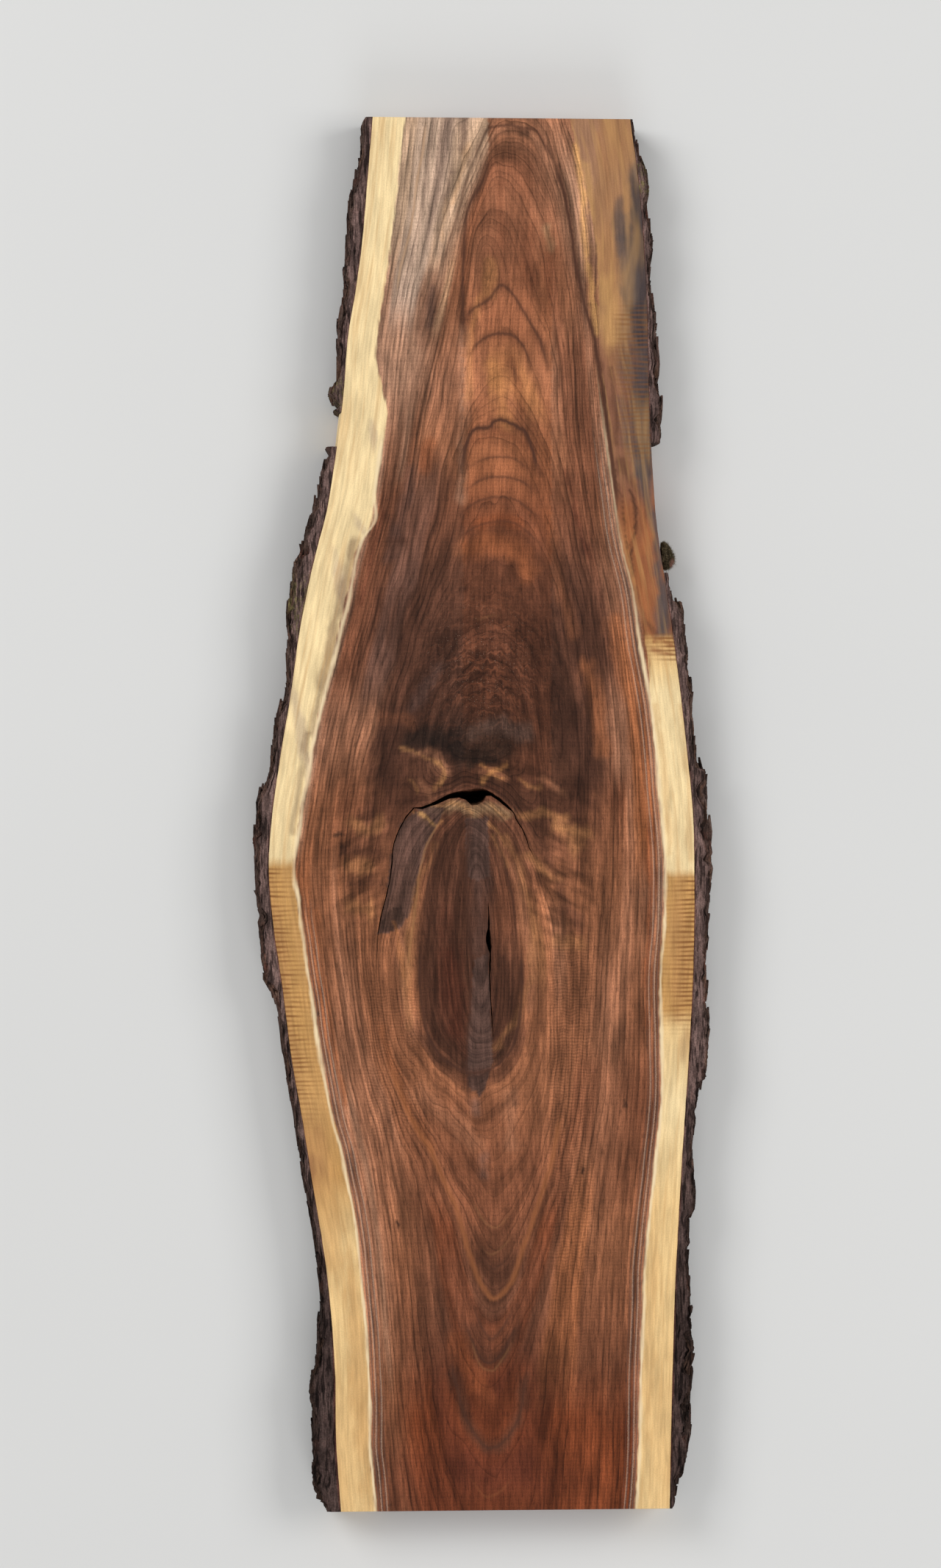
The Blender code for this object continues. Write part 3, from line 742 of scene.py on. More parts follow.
# Broad strokes: (colour, amount, width, places)
STROKES = (
    ("slate", 0.35, 13, ((160, 612), (230, 608), (290, 603), (345, 596))),
    ("dull_plum", 0.7, 13, ((162, 634), (182, 633), (202, 630))),
    ("tan", 0.61, 8, ((195, 640), (222, 630), (250, 622), (275, 615))),
    ("tan", 0.43, 5, ((272, 607), (300, 604), (328, 601))),
    ("plum", 0.6, 9, ((235, 613), (255, 608), (272, 603))),
    ("cocoa", 0.5, 20, ((378, 588), (420, 584), (465, 577))),
    ("dull_plum", 0.6, 9, ((390, 586), (442, 585))),
    ("gold", 0.6, 9, ((200, 786), (260, 794), (330, 797), (390, 805), (450, 812))),
    ("chestnut", 0.5, 9, ((250, 681), (290, 680), (335, 681))),
    ("chestnut", 0.55, 16, ((310, 722), (345, 719), (378, 722))),
    ("olive", 0.6, 9, ((308, 744), (338, 748))),
    ("amber", 0.4, 15, ((357, 667), (400, 664))),
    ("amber", 0.36, 9, ((405, 650), (470, 640), (540, 636))),
    ("rose", 0.35, 13, ((450, 633), (540, 632), (620, 629), (680, 626))),
    ("amber", 0.4, 22, ((500, 668), (530, 680), (575, 690))),
    ("chestnut", 0.5, 10, ((490, 700), (530, 703), (560, 712))),
    ("chestnut", 0.5, 9, ((600, 640), (592, 660), (588, 680), (596, 705), (612, 722))),
    ("rust", 0.5, 30, ((745, 640), (738, 668), (748, 700), (778, 716))),
    ("ember", 0.4, 14, ((712, 650), (706, 676), (712, 704))),
    ("cocoa", 0.55, 9, ((690, 650), (683, 676), (690, 704), (712, 724))),
    ("umber", 0.6, 13, ((704, 530), (722, 538), (735, 545))),
    ("ink", 0.6, 8, ((614, 512), (628, 512))),
    ("deep_red", 0.6, 6, ((732, 436), (752, 433))),
    ("umber", 0.6, 12, ((727, 795), (758, 793))),
    ("ink", 0.5, 7, ((722, 791), (738, 794), (752, 795))),
    ("umber", 0.55, 6, ((800, 545), (840, 534), (880, 526))),
    ("umber", 0.5, 6, ((860, 812), (910, 822), (960, 830))),
    ("deep_red", 0.5, 8, ((640, 772), (700, 786), (760, 800))),
    ("deep_red", 0.45, 7, ((700, 520), (760, 505), (820, 492))),
    ("umber", 0.5, 12, ((772, 692), (792, 680), (812, 662))),
    ("ember", 0.5, 16, ((604, 583), (632, 577))),
    ("cocoa", 0.5, 12, ((650, 610), (700, 595), (750, 580))),
    ("dull_plum", 0.45, 16, ((640, 560), (700, 545), (760, 530))),
    ("cocoa", 0.6, 12, ((842, 752), (880, 768), (948, 786))),
    ("rust", 0.6, 20, ((905, 800), (960, 812), (1020, 818))),
    ("rust", 0.25, 14, ((700, 745), (780, 760), (860, 778))),
    ("rust", 0.75, 22, ((850, 838), (900, 851), (960, 864), (1030, 874), (1110, 880))),
    ("ember", 0.55, 9, ((1130, 884), (1210, 887), (1300, 883), (1400, 884))),
    ("rust", 0.6, 9, ((1240, 428), (1310, 434), (1380, 443), (1450, 457), (1500, 470))),
    ("rust", 0.55, 10, ((1400, 519), (1450, 532), (1500, 552), (1562, 588))),
    ("chestnut", 0.5, 16, ((978, 524), (976, 545), (985, 562))),
    # The next two strokes, of dull plum and slate, are painted reflection: the cool grey glare of the finish
    # over the dark wood above the knot
    ("dull_plum", 0.5, 16, ((905, 598), (935, 578), (960, 564))),
    ("slate", 0.45, 22, ((992, 643), (986, 680), (998, 714))),
    ("rosewood", 0.6, 9, ((1028, 565), (1020, 585), (1033, 600), (1052, 605))),
    ("rosewood", 0.4, 16, ((1040, 590), (1050, 606))),
    ("rosewood", 0.6, 12, ((1050, 656), (1046, 672), (1060, 687))),
    ("umber", 0.7, 6, ((1030, 612), (1052, 622), (1062, 640), (1040, 652))),
    ("rosewood", 0.5, 10, ((1066, 568), (1080, 585))),
    ("rosewood", 0.6, 9, ((1060, 735), (1068, 752), (1080, 765))),
    ("honey", 0.5, 11, ((1108, 712), (1106, 740), (1112, 768))),
    ("honey", 0.5, 14, ((1120, 755), (1128, 778), (1136, 798))),
    ("olive", 0.8, 13, ((1104, 585), (1098, 605), (1097, 625), (1103, 645), (1100, 668), (1108, 690))),
    ("honey", 0.55, 6, ((1106, 562), (1117, 575), (1127, 587), (1116, 600))),
    ("honey", 0.4, 6, ((1137, 670), (1156, 680), (1177, 690))),
    ("honey", 0.4, 18, ((1120, 475), (1130, 500), (1122, 512))),
    ("cocoa", 0.55, 12, ((1158, 470), (1156, 498), (1164, 520))),
    ("honey", 0.4, 18, ((1180, 476), (1178, 500))),
    ("cocoa", 0.5, 15, ((1200, 478), (1199, 505), (1206, 522))),
    ("honey", 0.4, 22, ((1235, 480), (1238, 500))),
    ("honey", 0.5, 12, ((1165, 718), (1182, 738), (1198, 758))),
    ("cocoa", 0.65, 14, ((1132, 726), (1170, 745), (1215, 765), (1262, 785))),
    ("honey", 0.35, 22, ((1128, 765), (1150, 785))),
    ("cocoa", 0.55, 18, ((1240, 758), (1248, 786))),
    ("honey", 0.35, 18, ((1284, 758), (1286, 786))),
    ("umber", 0.75, 26, ((1215, 585), (1270, 581), (1320, 582), (1355, 590))),
    ("umber", 0.8, 30, ((1315, 688), (1360, 688), (1405, 680))),
    ("ink", 0.45, 14, ((1412, 577), (1437, 593), (1449, 615), (1453, 640), (1444, 672), (1415, 696),
                      (1383, 707))),
    ("deep_red", 0.5, 26, ((1300, 612), (1350, 616), (1400, 622))),
    ("rosewood", 0.55, 12, ((1180, 700), (1240, 712), (1300, 722), (1370, 722))),
    ("rosewood", 0.6, 12, ((1180, 560), (1260, 548), (1350, 548), (1410, 562))),
    ("dull_plum", 0.45, 24, ((1195, 651), (1240, 652), (1290, 653))),
    ("light_rust", 0.45, 20, ((1490, 693), (1520, 695), (1556, 692))),
    ("plum", 0.5, 14, ((1500, 645), (1515, 648))),
    ("plum", 0.5, 14, ((1574, 656), (1600, 658))),
    ("light_rust", 0.35, 24, ((1490, 577), (1522, 610), (1553, 643))),
    ("umber", 0.5, 30, ((1716, 652), (1738, 672), (1722, 697))),
    ("umber", 0.6, 18, ((1806, 647), (1846, 660), (1846, 680), (1812, 700))),
    ("ember", 0.4, 26, ((1830, 620), (1870, 640), (1897, 663))),
    ("umber", 0.6, 16, ((1870, 617), (1933, 637), (1967, 657), (1967, 683), (1940, 703), (1877, 713))),
    ("deep_red", 0.45, 34, ((1995, 632), (2012, 668), (1995, 704))),
)

# Small golden flecks round the crack: (colour, amount, width, places)
FLECKS = (
    ("amber", 0.55, 4, ((1018, 545), (1022, 562), (1030, 577), (1036, 592))),
    ("amber", 0.95, 5, ((1036, 593), (1048, 602), (1058, 604), (1066, 598))),
    ("honey", 0.7, 5, ((1055, 600), (1066, 596), (1072, 590))),
    ("honey", 0.7, 4, ((1060, 556), (1068, 562), (1078, 566))),
    ("amber", 0.95, 6, ((1066, 655), (1054, 662), (1045, 672), (1040, 688))),
    ("amber", 0.6, 5, ((1040, 652), (1050, 668), (1058, 682))),
    ("honey", 0.6, 5, ((1058, 708), (1066, 720), (1072, 734))),
    ("amber", 0.6, 4, ((1096, 596), (1092, 612), (1096, 630), (1104, 640))),
    ("amber", 0.55, 4, ((1094, 668), (1104, 676), (1110, 690))),
    ("gold", 0.75, 5, ((1108, 570), (1116, 582), (1122, 590))),
    ("amber", 0.6, 4, ((1118, 664), (1132, 678), (1150, 688))),
    ("umber", 0.8, 4, ((1100, 600), (1108, 618), (1106, 640))),
    ("umber", 0.8, 4, ((1104, 660), (1112, 676), (1108, 690))),
    ("umber", 0.7, 4, ((1030, 600), (1042, 612), (1052, 616))),
    ("umber", 0.7, 4, ((1036, 664), (1044, 660), (1060, 650))),
    ("umber", 0.6, 5, ((1112, 700), (1126, 722), (1146, 738))),
    ("honey", 0.45, 9, ((1140, 690), (1200, 712), (1260, 724), (1330, 722), (1390, 702), (1425, 672))),
    ("honey", 0.4, 8, ((1150, 592), (1210, 568), (1270, 556), (1340, 550), (1400, 558))),
    ("glint", 0.5, 5, ((1255, 536), (1290, 544), (1330, 548))),
)

# Patches with an outline: (colour, amount, outline)
PATCHES = (
    ("dull_plum", 0.88, ((1098, 604), (1097, 578), (1110, 556), (1121, 546), (1140, 538), (1164, 532),
                    (1200, 528), (1221, 524), (1250, 517), (1271, 514), (1270, 528), (1262, 546),
                    (1236, 560), (1186, 571), (1155, 580), (1132, 590))),
    ("ink", 0.6, ((1236, 530), (1232, 545), (1248, 550), (1264, 541), (1268, 520), (1255, 518))),
    ("dull_plum", 0.9, ((1306, 646), (1296, 664), (1350, 667), (1400, 669), (1445, 671), (1478, 660),
                        (1492, 652), (1478, 637), (1450, 634), (1400, 636), (1360, 640))),
    ("dull_plum", 0.85, ((1112, 633), (1111, 664), (1150, 665), (1192, 666), (1198, 650), (1192, 635),
                   (1150, 633))),
)

# Spots: (colour, amount, centre, half width, half height, tilt in degrees)
SPOTS = (
    ("light_rust", 0.2, (240, 700), 45, 90, 0), ("ink", 0.6, (179, 715), 9, 6, 0),
    ("umber", 0.3, (710, 590), 55, 100, 20), ("umber", 0.4, (870, 770), 30, 90, -8),
    ("umber", 0.75, (900, 664), 85, 95, 0), ("umber", 0.9, (985, 655), 112, 78, 0),
    ("ink", 0.95, (1014, 650), 78, 44, 0), ("ink", 0.8, (1004, 576), 32, 22, 0),
    ("umber", 0.5, (860, 615), 48, 70, 10), ("cocoa", 0.6, (1052, 580), 40, 32, 0),
    ("cocoa", 0.5, (1040, 740), 50, 34, 0), ("umber", 0.55, (1085, 700), 26, 16, 0),
    ("umber", 0.6, (1090, 560), 24, 14, 0), ("cocoa", 0.45, (830, 655), 60, 26, 0),
    ("walnut", 0.5, (1060, 470), 40, 60, 0), ("walnut", 0.45, (1150, 820), 38, 60, 0),
    ("umber", 0.75, (1180, 640), 48, 70, 0), ("umber", 0.8, (1290, 640), 60, 100, 0),
    ("umber", 0.75, (1395, 640), 58, 60, 0), ("chestnut", 0.45, (1230, 690), 18, 60, -8),
    ("chestnut", 0.3, (1610, 662), 30, 60, 0), ("black", 0.9, (1500, 700), 3, 6, 20),
    ("ink", 0.9, (1665, 540), 4, 7, 20), ("ink", 0.9, (1592, 795), 3, 7, 0),
    ("ink", 0.8, (1500, 850), 3, 8, 0), ("ink", 0.8, (1137, 460), 8, 3, 15),
    ("ink", 0.8, (1157, 467), 4, 11, -20), ("ink", 0.8, (1378, 434), 3, 4, 0),
    ("ink", 0.6, (298, 836), 8, 7, 0), ("chestnut", 0.45, (1545, 640), 75, 70, 0),
    ("chestnut", 0.45, (390, 690), 42, 120, 0), ("cocoa", 0.35, (1270, 562), 30, 60, 10),
    ("deep_red", 0.45, (2025, 650), 150, 60, 0), ("light_rust", 0.4, (240, 748), 22, 100, -6),
    ("umber", 0.45, (880, 560), 36, 90, 16), ("umber", 0.4, (930, 775), 34, 100, -10),
    ("umber", 0.35, (915, 660), 100, 90, 0),
)

# Stains and shades in the sapwood: (colour, amount, centre, half width, half height, tilt)
SAP_SPOTS = (
    ("grey_brown", 0.45, (478, 520), 7, 26, 0), ("grey_brown", 0.45, (595, 507), 6, 22, 10),
    ("grey_brown", 0.4, (721, 491), 5, 24, 25), ("grey_brown", 0.5, (798, 464), 8, 48, 14),
    ("grey_brown", 0.45, (1020, 414), 8, 95, 12),
    ("gold", 0.6, (370, 806), 10, 60, 0), ("amber", 0.5, (350, 830), 26, 60, 0),
    ("stain", 0.8, (350, 872), 20, 115, 0), ("stain", 0.7, (560, 876), 17, 150, 0),
    ("stain", 0.5, (470, 852), 16, 60, 0), ("stain", 0.35, (205, 866), 10, 40, 0),
    ("honey", 0.5, (460, 835), 16, 60, 0), ("rust", 0.5, (740, 868), 24, 60, 0),
    ("cocoa", 0.5, (745, 862), 8, 42, -8), ("stain", 0.75, (828, 903), 13, 38, -6),
    ("honey", 0.45, (190, 828), 30, 40, 0), ("fawn", 0.5, (200, 800), 20, 60, 0),
    ("honey", 0.5, (1575, 430), 22, 60, 10), ("walnut", 0.6, (1592, 430), 14, 22, 10),
    ("honey", 0.35, (1440, 395), 14, 60, 10), ("honey", 0.4, (1425, 932), 8, 30, 0),
    ("amber", 0.4, (1300, 380), 12, 100, 6), ("amber", 0.4, (1290, 925), 16, 100, 0),
    ("gold", 0.6, (1660, 448), 18, 90, 8), ("gold", 0.6, (1880, 490), 14, 190, 4),
    ("gold", 0.3, (1960, 470), 30, 110, 0),
    ("gold", 0.35, (1800, 885), 10, 220, -2), ("gold", 0.3, (1940, 900), 20, 120, 0),
)

# Strokes in the sapwood: (colour, amount, width, places)
SAP_STROKES = (
    ("olive", 0.55, 9, ((1000, 420), (1060, 409), (1100, 403), (1135, 398))),
    ("olive", 0.7, 14, ((738, 484), (800, 468), (840, 457), (900, 446), (960, 432), (1000, 423))),
    ("gold", 0.5, 7, ((1180, 393), (1260, 401), (1340, 414), (1430, 426))),
    ("gold", 0.4, 10, ((960, 894), (1060, 907), (1160, 913))),
    ("gold", 0.35, 9, ((960, 928), (1060, 938), (1170, 941))),
    ("stain", 0.85, 22, ((232, 868), (300, 872), (420, 874), (520, 877), (640, 880))),
    ("dull_plum", 0.45, 13, ((245, 872), (330, 875), (450, 879), (560, 881), (640, 884))),
    ("dark_stain", 0.7, 30, ((258, 872), (330, 868), (400, 870), (455, 876))),
    ("dark_stain", 0.55, 34, ((440, 876), (500, 870), (560, 868), (610, 876))),
    ("stain", 0.7, 20, ((292, 852), (325, 848), (352, 854), (400, 858))),
    ("dark_stain", 0.5, 10, ((640, 868), (680, 876), (700, 884))),
    ("dark_stain", 0.4, 10, ((720, 892), (780, 899), (850, 908))),
    ("stain", 0.6, 15, ((272, 846), (300, 842), (322, 846))),
    ("stain", 0.5, 16, ((540, 846), (570, 850), (600, 856))),
    ("gold", 0.6, 22, ((385, 818), (430, 827), (462, 830))),
    ("gold", 0.5, 8, ((220, 800), (260, 802), (300, 806))),
    ("honey", 0.5, 8, ((180, 812), (230, 824), (280, 828))),
    ("umber", 0.5, 7, ((500, 832), (545, 834), (600, 840))),
    ("umber", 0.6, 12, ((625, 846), (650, 858), (672, 868))),
    ("orange", 0.7, 18, ((690, 852), (750, 862), (800, 872), (850, 884))),
    ("orange", 0.6, 12, ((655, 868), (700, 876), (750, 880))),
    ("stain", 0.75, 14, ((630, 870), (672, 876), (690, 884))),
    ("stain", 0.8, 14, ((700, 890), (760, 898), (830, 902), (858, 908))),
    ("glint", 0.7, 5, ((700, 849), (760, 853), (820, 864), (860, 876))),
    ("umber", 0.85, 4, ((668, 858), (690, 866), (720, 863), (760, 858), (785, 860))),
    ("umber", 0.6, 3, ((640, 840), (690, 847), (745, 852))),
    ("cocoa", 0.6, 6, ((800, 866), (840, 877), (862, 892))),
    ("ember", 0.7, 5, ((872, 890), (874, 902), (876, 914))),
    ("ember", 0.75, 6, ((884, 886), (886, 900), (888, 914))),
)

# Crisp dark lines: (amount, width, places)
DARK_LINES = (
    (0.6, 3.5, ((222, 642), (192, 655), (175, 665), (169, 692), (172, 705), (177, 730), (197, 742),
                (225, 755))),
    (0.85, 4.2, ((225, 755), (262, 767), (312, 777), (362, 784), (420, 797), (452, 807), (480, 812),
                (540, 822), (570, 826), (620, 833), (660, 838), (690, 842))),
    (0.55, 3, ((222, 642), (255, 632), (300, 620), (325, 612), (360, 604))),
    (0.7, 3.5, ((225, 664), (250, 655), (275, 640), (312, 632), (355, 630), (400, 630), (462, 632))),
    (0.65, 3.5, ((436, 630), (422, 642), (407, 665), (387, 682), (410, 705), (437, 720), (462, 735),
                (500, 744))),
    (0.65, 3.5, ((480, 640), (466, 650), (457, 665), (453, 680), (457, 700), (475, 715), (500, 724))),
    (0.7, 4, ((495, 700), (520, 701))),
    (0.9, 4.2, ((640, 628), (605, 634), (584, 645), (581, 665), (574, 670), (571, 680), (576, 695),
                (581, 707), (592, 717), (640, 733))),
    (0.45, 3, ((634, 640), (624, 660), (621, 680), (625, 700), (638, 718))),
    (0.5, 3, ((668, 632), (653, 655), (648, 680), (653, 705), (668, 728))),
    (0.5, 3, ((700, 626), (684, 645), (676, 678), (682, 706), (704, 732))),
    (0.4, 3, ((735, 620), (717, 645), (709, 678), (715, 708), (742, 738))),
    (0.7, 3, ((737, 523), (736, 553))),
    (0.7, 3.5, ((1290, 573), (1330, 571), (1370, 574), (1410, 583), (1438, 600), (1453, 622),
                (1459, 648), (1452, 672), (1428, 694), (1390, 706), (1340, 710), (1290, 708))),
    (0.6, 3, ((1135, 596), (1190, 585), (1240, 577))),
    (0.55, 3, ((1130, 672), (1190, 690), (1250, 702))),
    (0.7, 2.5, ((1118, 637), (1180, 634), (1240, 636), (1300, 641), (1363, 639), (1404, 636),
                (1445, 635), (1500, 638))),
    (0.5, 3, ((1712, 655), (1727, 672), (1712, 690))),
    (0.5, 3, ((1770, 640), (1806, 655), (1822, 668), (1806, 684), (1775, 700))),
    (0.55, 3, ((1800, 632), (1840, 650), (1855, 666), (1840, 684), (1800, 704))),
    (0.55, 4, ((1850, 612), (1925, 632), (1962, 655), (1970, 668), (1960, 686), (1930, 706), (1870, 716))),
)

# Crisp light lines: (colour, amount, width, places)
LIGHT_LINES = (
    ("tan", 0.7, 3, ((165, 579), (200, 576), (250, 567), (290, 562), (325, 555), (361, 546), (400, 539))),
    ("orange", 0.5, 6, ((1450, 528), (1500, 549), (1539, 569), (1562, 585), (1601, 601), (1647, 622),
                        (1690, 634), (1725, 645), (1750, 656), (1767, 669), (1761, 683), (1741, 697),
                        (1700, 711), (1647, 730), (1612, 741), (1582, 750), (1520, 762))),
    ("amber", 0.16, 2.5, ((1633, 643), (1660, 657), (1670, 677), (1647, 697))),
    ("amber", 0.14, 2.5, ((1695, 655), (1707, 667), (1697, 683), (1678, 700))),
    ("amber", 0.16, 2.5, ((1820, 640), (1857, 653), (1865, 667), (1860, 677), (1824, 698))),
    ("orange", 0.16, 3, ((2010, 640), (2033, 657), (2035, 670), (2027, 683), (2012, 697))),
    ("amber", 0.38, 2.5, ((1113, 600), (1160, 577), (1225, 566), (1293, 557), (1320, 550))),
    ("amber", 0.38, 5, ((700, 842), (752, 850), (815, 867), (852, 880))),
    ("amber", 0.12, 3, ((838, 642), (843, 650), (839, 662), (836, 682))),
)


def linear(name):
    value = np.array(PALETTE[name]) / 255
    return np.where(value <= 0.04045, value / 12.92, ((value + 0.055) / 1.055) ** 2.4)


def distance_to(line, rows, columns):
    """The signed distance to a line of (row, column) places, in pixels, and which side of it is nearer."""
    best = np.full(len(rows), 1e9)
    side = np.ones(len(rows))
    here = np.stack([rows, columns], -1)
    for a, b in zip(line, line[1:]):
        run = b - a
        share = np.clip(((here - a) @ run) / (run @ run), 0, 1)
        gap = here - a - share[:, None] * run
        far = np.linalg.norm(gap, axis=1)
        turn = np.sign(run[0] * (here[:, 1] - a[1]) - run[1] * (here[:, 0] - a[0]))
        nearer = far < best
        best = np.where(nearer, far, best)
        side = np.where(nearer, np.where(turn == 0, 1, turn), side)
    return best * side


# The knot's middle column, which parts the board's left from its right
KNOT_COLUMN = 664
# Noise that frays the painting: how far it bends places, then its size across and down, in pixels. The
# grain's is counted in lumps to a ring across.
WARP, LINE_WARP_SHARE = 5.0, 0.3
BEND_ACROSS, BEND_DOWN, FRAY = (15, 26), (20, 15), (9, 22)
BROAD_GRAIN, FINE_GRAIN = (0.9, 160), (2.3, 90)
# How far the grain draws out the washes down the board, and how soft the edges of spots and strokes are
HEART_SWAY, SAP_SWAY = 22, 5
SPOT_EDGE, STROKE_EDGE = (0.45, 1.35), (0.1, 1.8)
# Stripes: their strength, then lumps to a ring across and their length down
STRIPES, BROAD_STRIPE, WIDE_STRIPE = 0.45, (0.8, 420), (0.35, 300)
HEART_GAIN = (1.13, 1.07, 0.97)
# The planer's passes over the upper half: their rows, the middle one's columns, and their tints, which paint
# the passes' different sheen
PASS_ROWS, PASS_COLUMNS = ((300, 480), (1020, 1100)), ((628.5, 631.5), (748.5, 751.5))
MIDDLE_PASS, OUTER_PASS = (1.10, 1.02, 0.95), (0.95, 0.99, 1.04)
FLECK_SHARE = 0.62
# A thin line's shade beside it, how far off it is looked for, and the length over which its ends fade
LINE_SHADE, LINE_SHADE_WIDTH, LINE_REACH, LINE_FADE = 0.55, 3, 14, (-4, 22)
CRACK_ROWS, CRACK_COLUMNS = (1040, 1450), (495, 770)
# Depths, in pixels, over which what is painted on the face gives way to what the rings say
FACE_FADE, EDGE_FADE = (1, 6), (4, 30)

# The pale line: where it comes in and narrows, its share where faint, its half widths and its reach
PALE_LEFT_ROWS, PALE_RIGHT_ROWS, PALE_FULL_ROWS = (585, 620), (480, 620), (800, 900)
PALE_FAINT, PALE_NARROWS, PALE_REACH = 0.45, (1400, 1600), 7
PALE_HALF_LEFT, PALE_HALF_RIGHT, PALE_HALF_CHANGE = 2.1, 1.3, 0.5
# Thin lines inside the heartwood's edge come in over these rows
RIM_LEFT_ROWS, RIM_RIGHT_ROWS = (1200, 1300), (560, 680)
# Ripples: (strength, rows, columns), each with a rise and a fall
RIPPLES = (
    (1.0, ((1250, 1300), (1500, 2050)), ((735, 760), (790, 830))),
    (0.8, ((1320, 1350), (1520, 1580)), ((490, 505), (560, 600))),
)
# Bars across the sapwood: the rows of both sides, of the torn end of the bare stretch and of the dark
# wedge above it, whose bars start at some columns. They fade towards the heartwood.
BARS_LEFT, BARS_RIGHT = ((1176, 1186), (1440, 1560)), ((1188, 1200), (1370, 1420))
TORN_BARS, WEDGE_BARS = ((855, 866), (892, 905)), ((400, 430), (600, 640))
WEDGE_SHARE, WEDGE_COLUMNS = 0.6, (825, 850)
BAR_REACH, BAR_FAINTEST = 30, 0.35
# Curly figure round the knot, and above it the golden flecks and the painted glints: (amount, centre, half
# height, half width)
FIGURE = ((1.0, (1175, 488), 85, 45), (1.0, (1190, 762), 105, 45), (0.6, (1050, 650), 40, 140))
FLECKS_AND_GLINTS = ((1.0, (905, 662), 95, 80),)


def flowing(places):
    """More places along a smooth curve through some (row, column) places."""
    line = np.array(places, float)
    ends = np.concatenate([[2 * line[0] - line[1]], line, [2 * line[-1] - line[-2]]])
    made = []
    for a, b, c, d in zip(ends, ends[1:], ends[2:], ends[3:]):
        for t in (0.0, 0.25, 0.5, 0.75):
            made.append(0.5 * (2 * b + (c - a) * t + (2 * a - 5 * b + 4 * c - d) * t**2
                               + (3 * b - a - 3 * c + d) * t**3))
    return np.array([*made, line[-1]])


class Painting:
    """The wood's colour at each point of the slab's mesh, laid on in bands, spots and strokes, with some
    painted sheen among them.
    """

    def __init__(self, columns, rows, ring):
        self.columns, self.rows, self.ring = columns, rows, ring
        self.colour = np.zeros((len(columns), 3))
        self.left = columns < KNOT_COLUMN
        broad = rough(ring * BROAD_GRAIN[0], rows / BROAD_GRAIN[1], 3)
        self.grain = broad * 0.5 + rough(ring * FINE_GRAIN[0], rows / FINE_GRAIN[1], 8) * 0.5
        self.fray = rough(columns / FRAY[0], rows / FRAY[1], 13)
        self.bent_columns = columns + WARP * rough(columns / BEND_ACROSS[0], rows / BEND_ACROSS[1], 14)
        self.bent_rows = rows + WARP * rough(columns / BEND_DOWN[0], rows / BEND_DOWN[1], 15)

    def lay(self, name, amount):
        amount = np.clip(amount, 0, 1)[:, None]
        self.colour = self.colour * (1 - amount) + linear(name) * amount

    def wash(self, stops, sway=HEART_SWAY):
        """Colours that blend into each other down the board."""
        places = [row for row, _ in stops]
        colours = np.array([linear(name) for _, name in stops])
        rows = self.rows + sway * self.grain
        return np.stack([np.interp(rows, places, colours[:, k]) for k in range(3)], -1)

    def heart_wash(self):
        """The heartwood's washes, blended from ring to ring."""
        (inner, _, low), (middle, _, mid), (outer, _, left), (_, _, right) = HEART_WASHES
        ring = self.ring + 0.6 * self.grain
        outside = np.where(self.left[:, None], self.wash(left), self.wash(right))
        first = smooth(inner, middle, ring)[:, None]
        second = smooth(middle, outer, ring)[:, None]
        within = self.wash(low) * (1 - first) + self.wash(mid) * first
        self.colour = within * (1 - second) + outside * second

    def band(self, name, amount, side, rings, rows, soft):
        """Colour between two rings and two rows, on one side of the knot or on both."""
        ring = self.ring + 0.35 * self.grain
        row = self.rows + 0.6 * soft[1] * self.grain
        mask = 1.0
        for value, ends, blur in ((ring, rings, soft[0]), (row, rows, soft[1])):
            mask = mask * window(value, *((end - blur, end + blur) for end in ends))
        if side:
            mask = mask * (self.left if side == "left" else ~self.left)
        self.lay(name, mask * amount)

    def near(self, places, reach):
        """The points within reach of some (row, column) places."""
        low, high = places.min(0) - reach, places.max(0) + reach
        close = (self.rows > low[0]) & (self.rows < high[0])
        close &= (self.columns > low[1]) & (self.columns < high[1])
        return np.flatnonzero(close)

    def spot(self, name, amount, centre, wide, high, tilt):
        """A soft-edged patch. tilt turns it, in degrees."""
        turn = math.radians(tilt)
        down, across = self.bent_rows - centre[0], self.bent_columns - centre[1]
        u = (down * math.cos(turn) + across * math.sin(turn)) / high
        v = (across * math.cos(turn) - down * math.sin(turn)) / wide
        mask = 1 - smooth(*SPOT_EDGE, np.sqrt(u * u + v * v) + 0.25 * self.grain + 0.3 * self.fray)
        self.lay(name, mask * amount)

    def slightly_bent(self, index):
        """The rows and columns of some points, bent a little, as crisp outlines are."""
        rows = self.rows[index] + LINE_WARP_SHARE * (self.bent_rows - self.rows)[index]
        columns = self.columns[index] + LINE_WARP_SHARE * (self.bent_columns - self.columns)[index]
        return rows, columns

    def patch(self, name, amount, outline):
        """A patch with a crisp outline of (row, column) places."""
        line = np.array(outline, float)
        index = self.near(line, 6)
        mask = np.zeros(len(self.rows))
        mask[index] = inside(np.stack(self.slightly_bent(index), -1), line)
        self.lay(name, mask * amount)

    def stroke(self, name, amount, width, places):
        """A brush stroke along (row, column) places."""
        line = np.array(places, float)
        index = self.near(line, width * 2 + 4)
        gap = np.abs(distance_to(line, self.bent_rows[index], self.bent_columns[index])) / (width / 2)
        ragged_edge = 0.35 * self.grain[index] + 0.75 * self.fray[index]
        mask = np.zeros(len(self.rows))
        mask[index] = 1 - smooth(*STROKE_EDGE, gap + ragged_edge)
        self.lay(name, mask * amount)

    def stripes(self, amount):
        """Lighter and darker stripes that follow the rings."""
        broad = rough(self.ring * BROAD_STRIPE[0], self.rows / BROAD_STRIPE[1], 21, 1)
        wide = rough(self.ring * WIDE_STRIPE[0], self.rows / WIDE_STRIPE[1], 22, 2)
        self.colour *= np.exp(amount * (0.5 * broad + 0.5 * wide))[:, None]

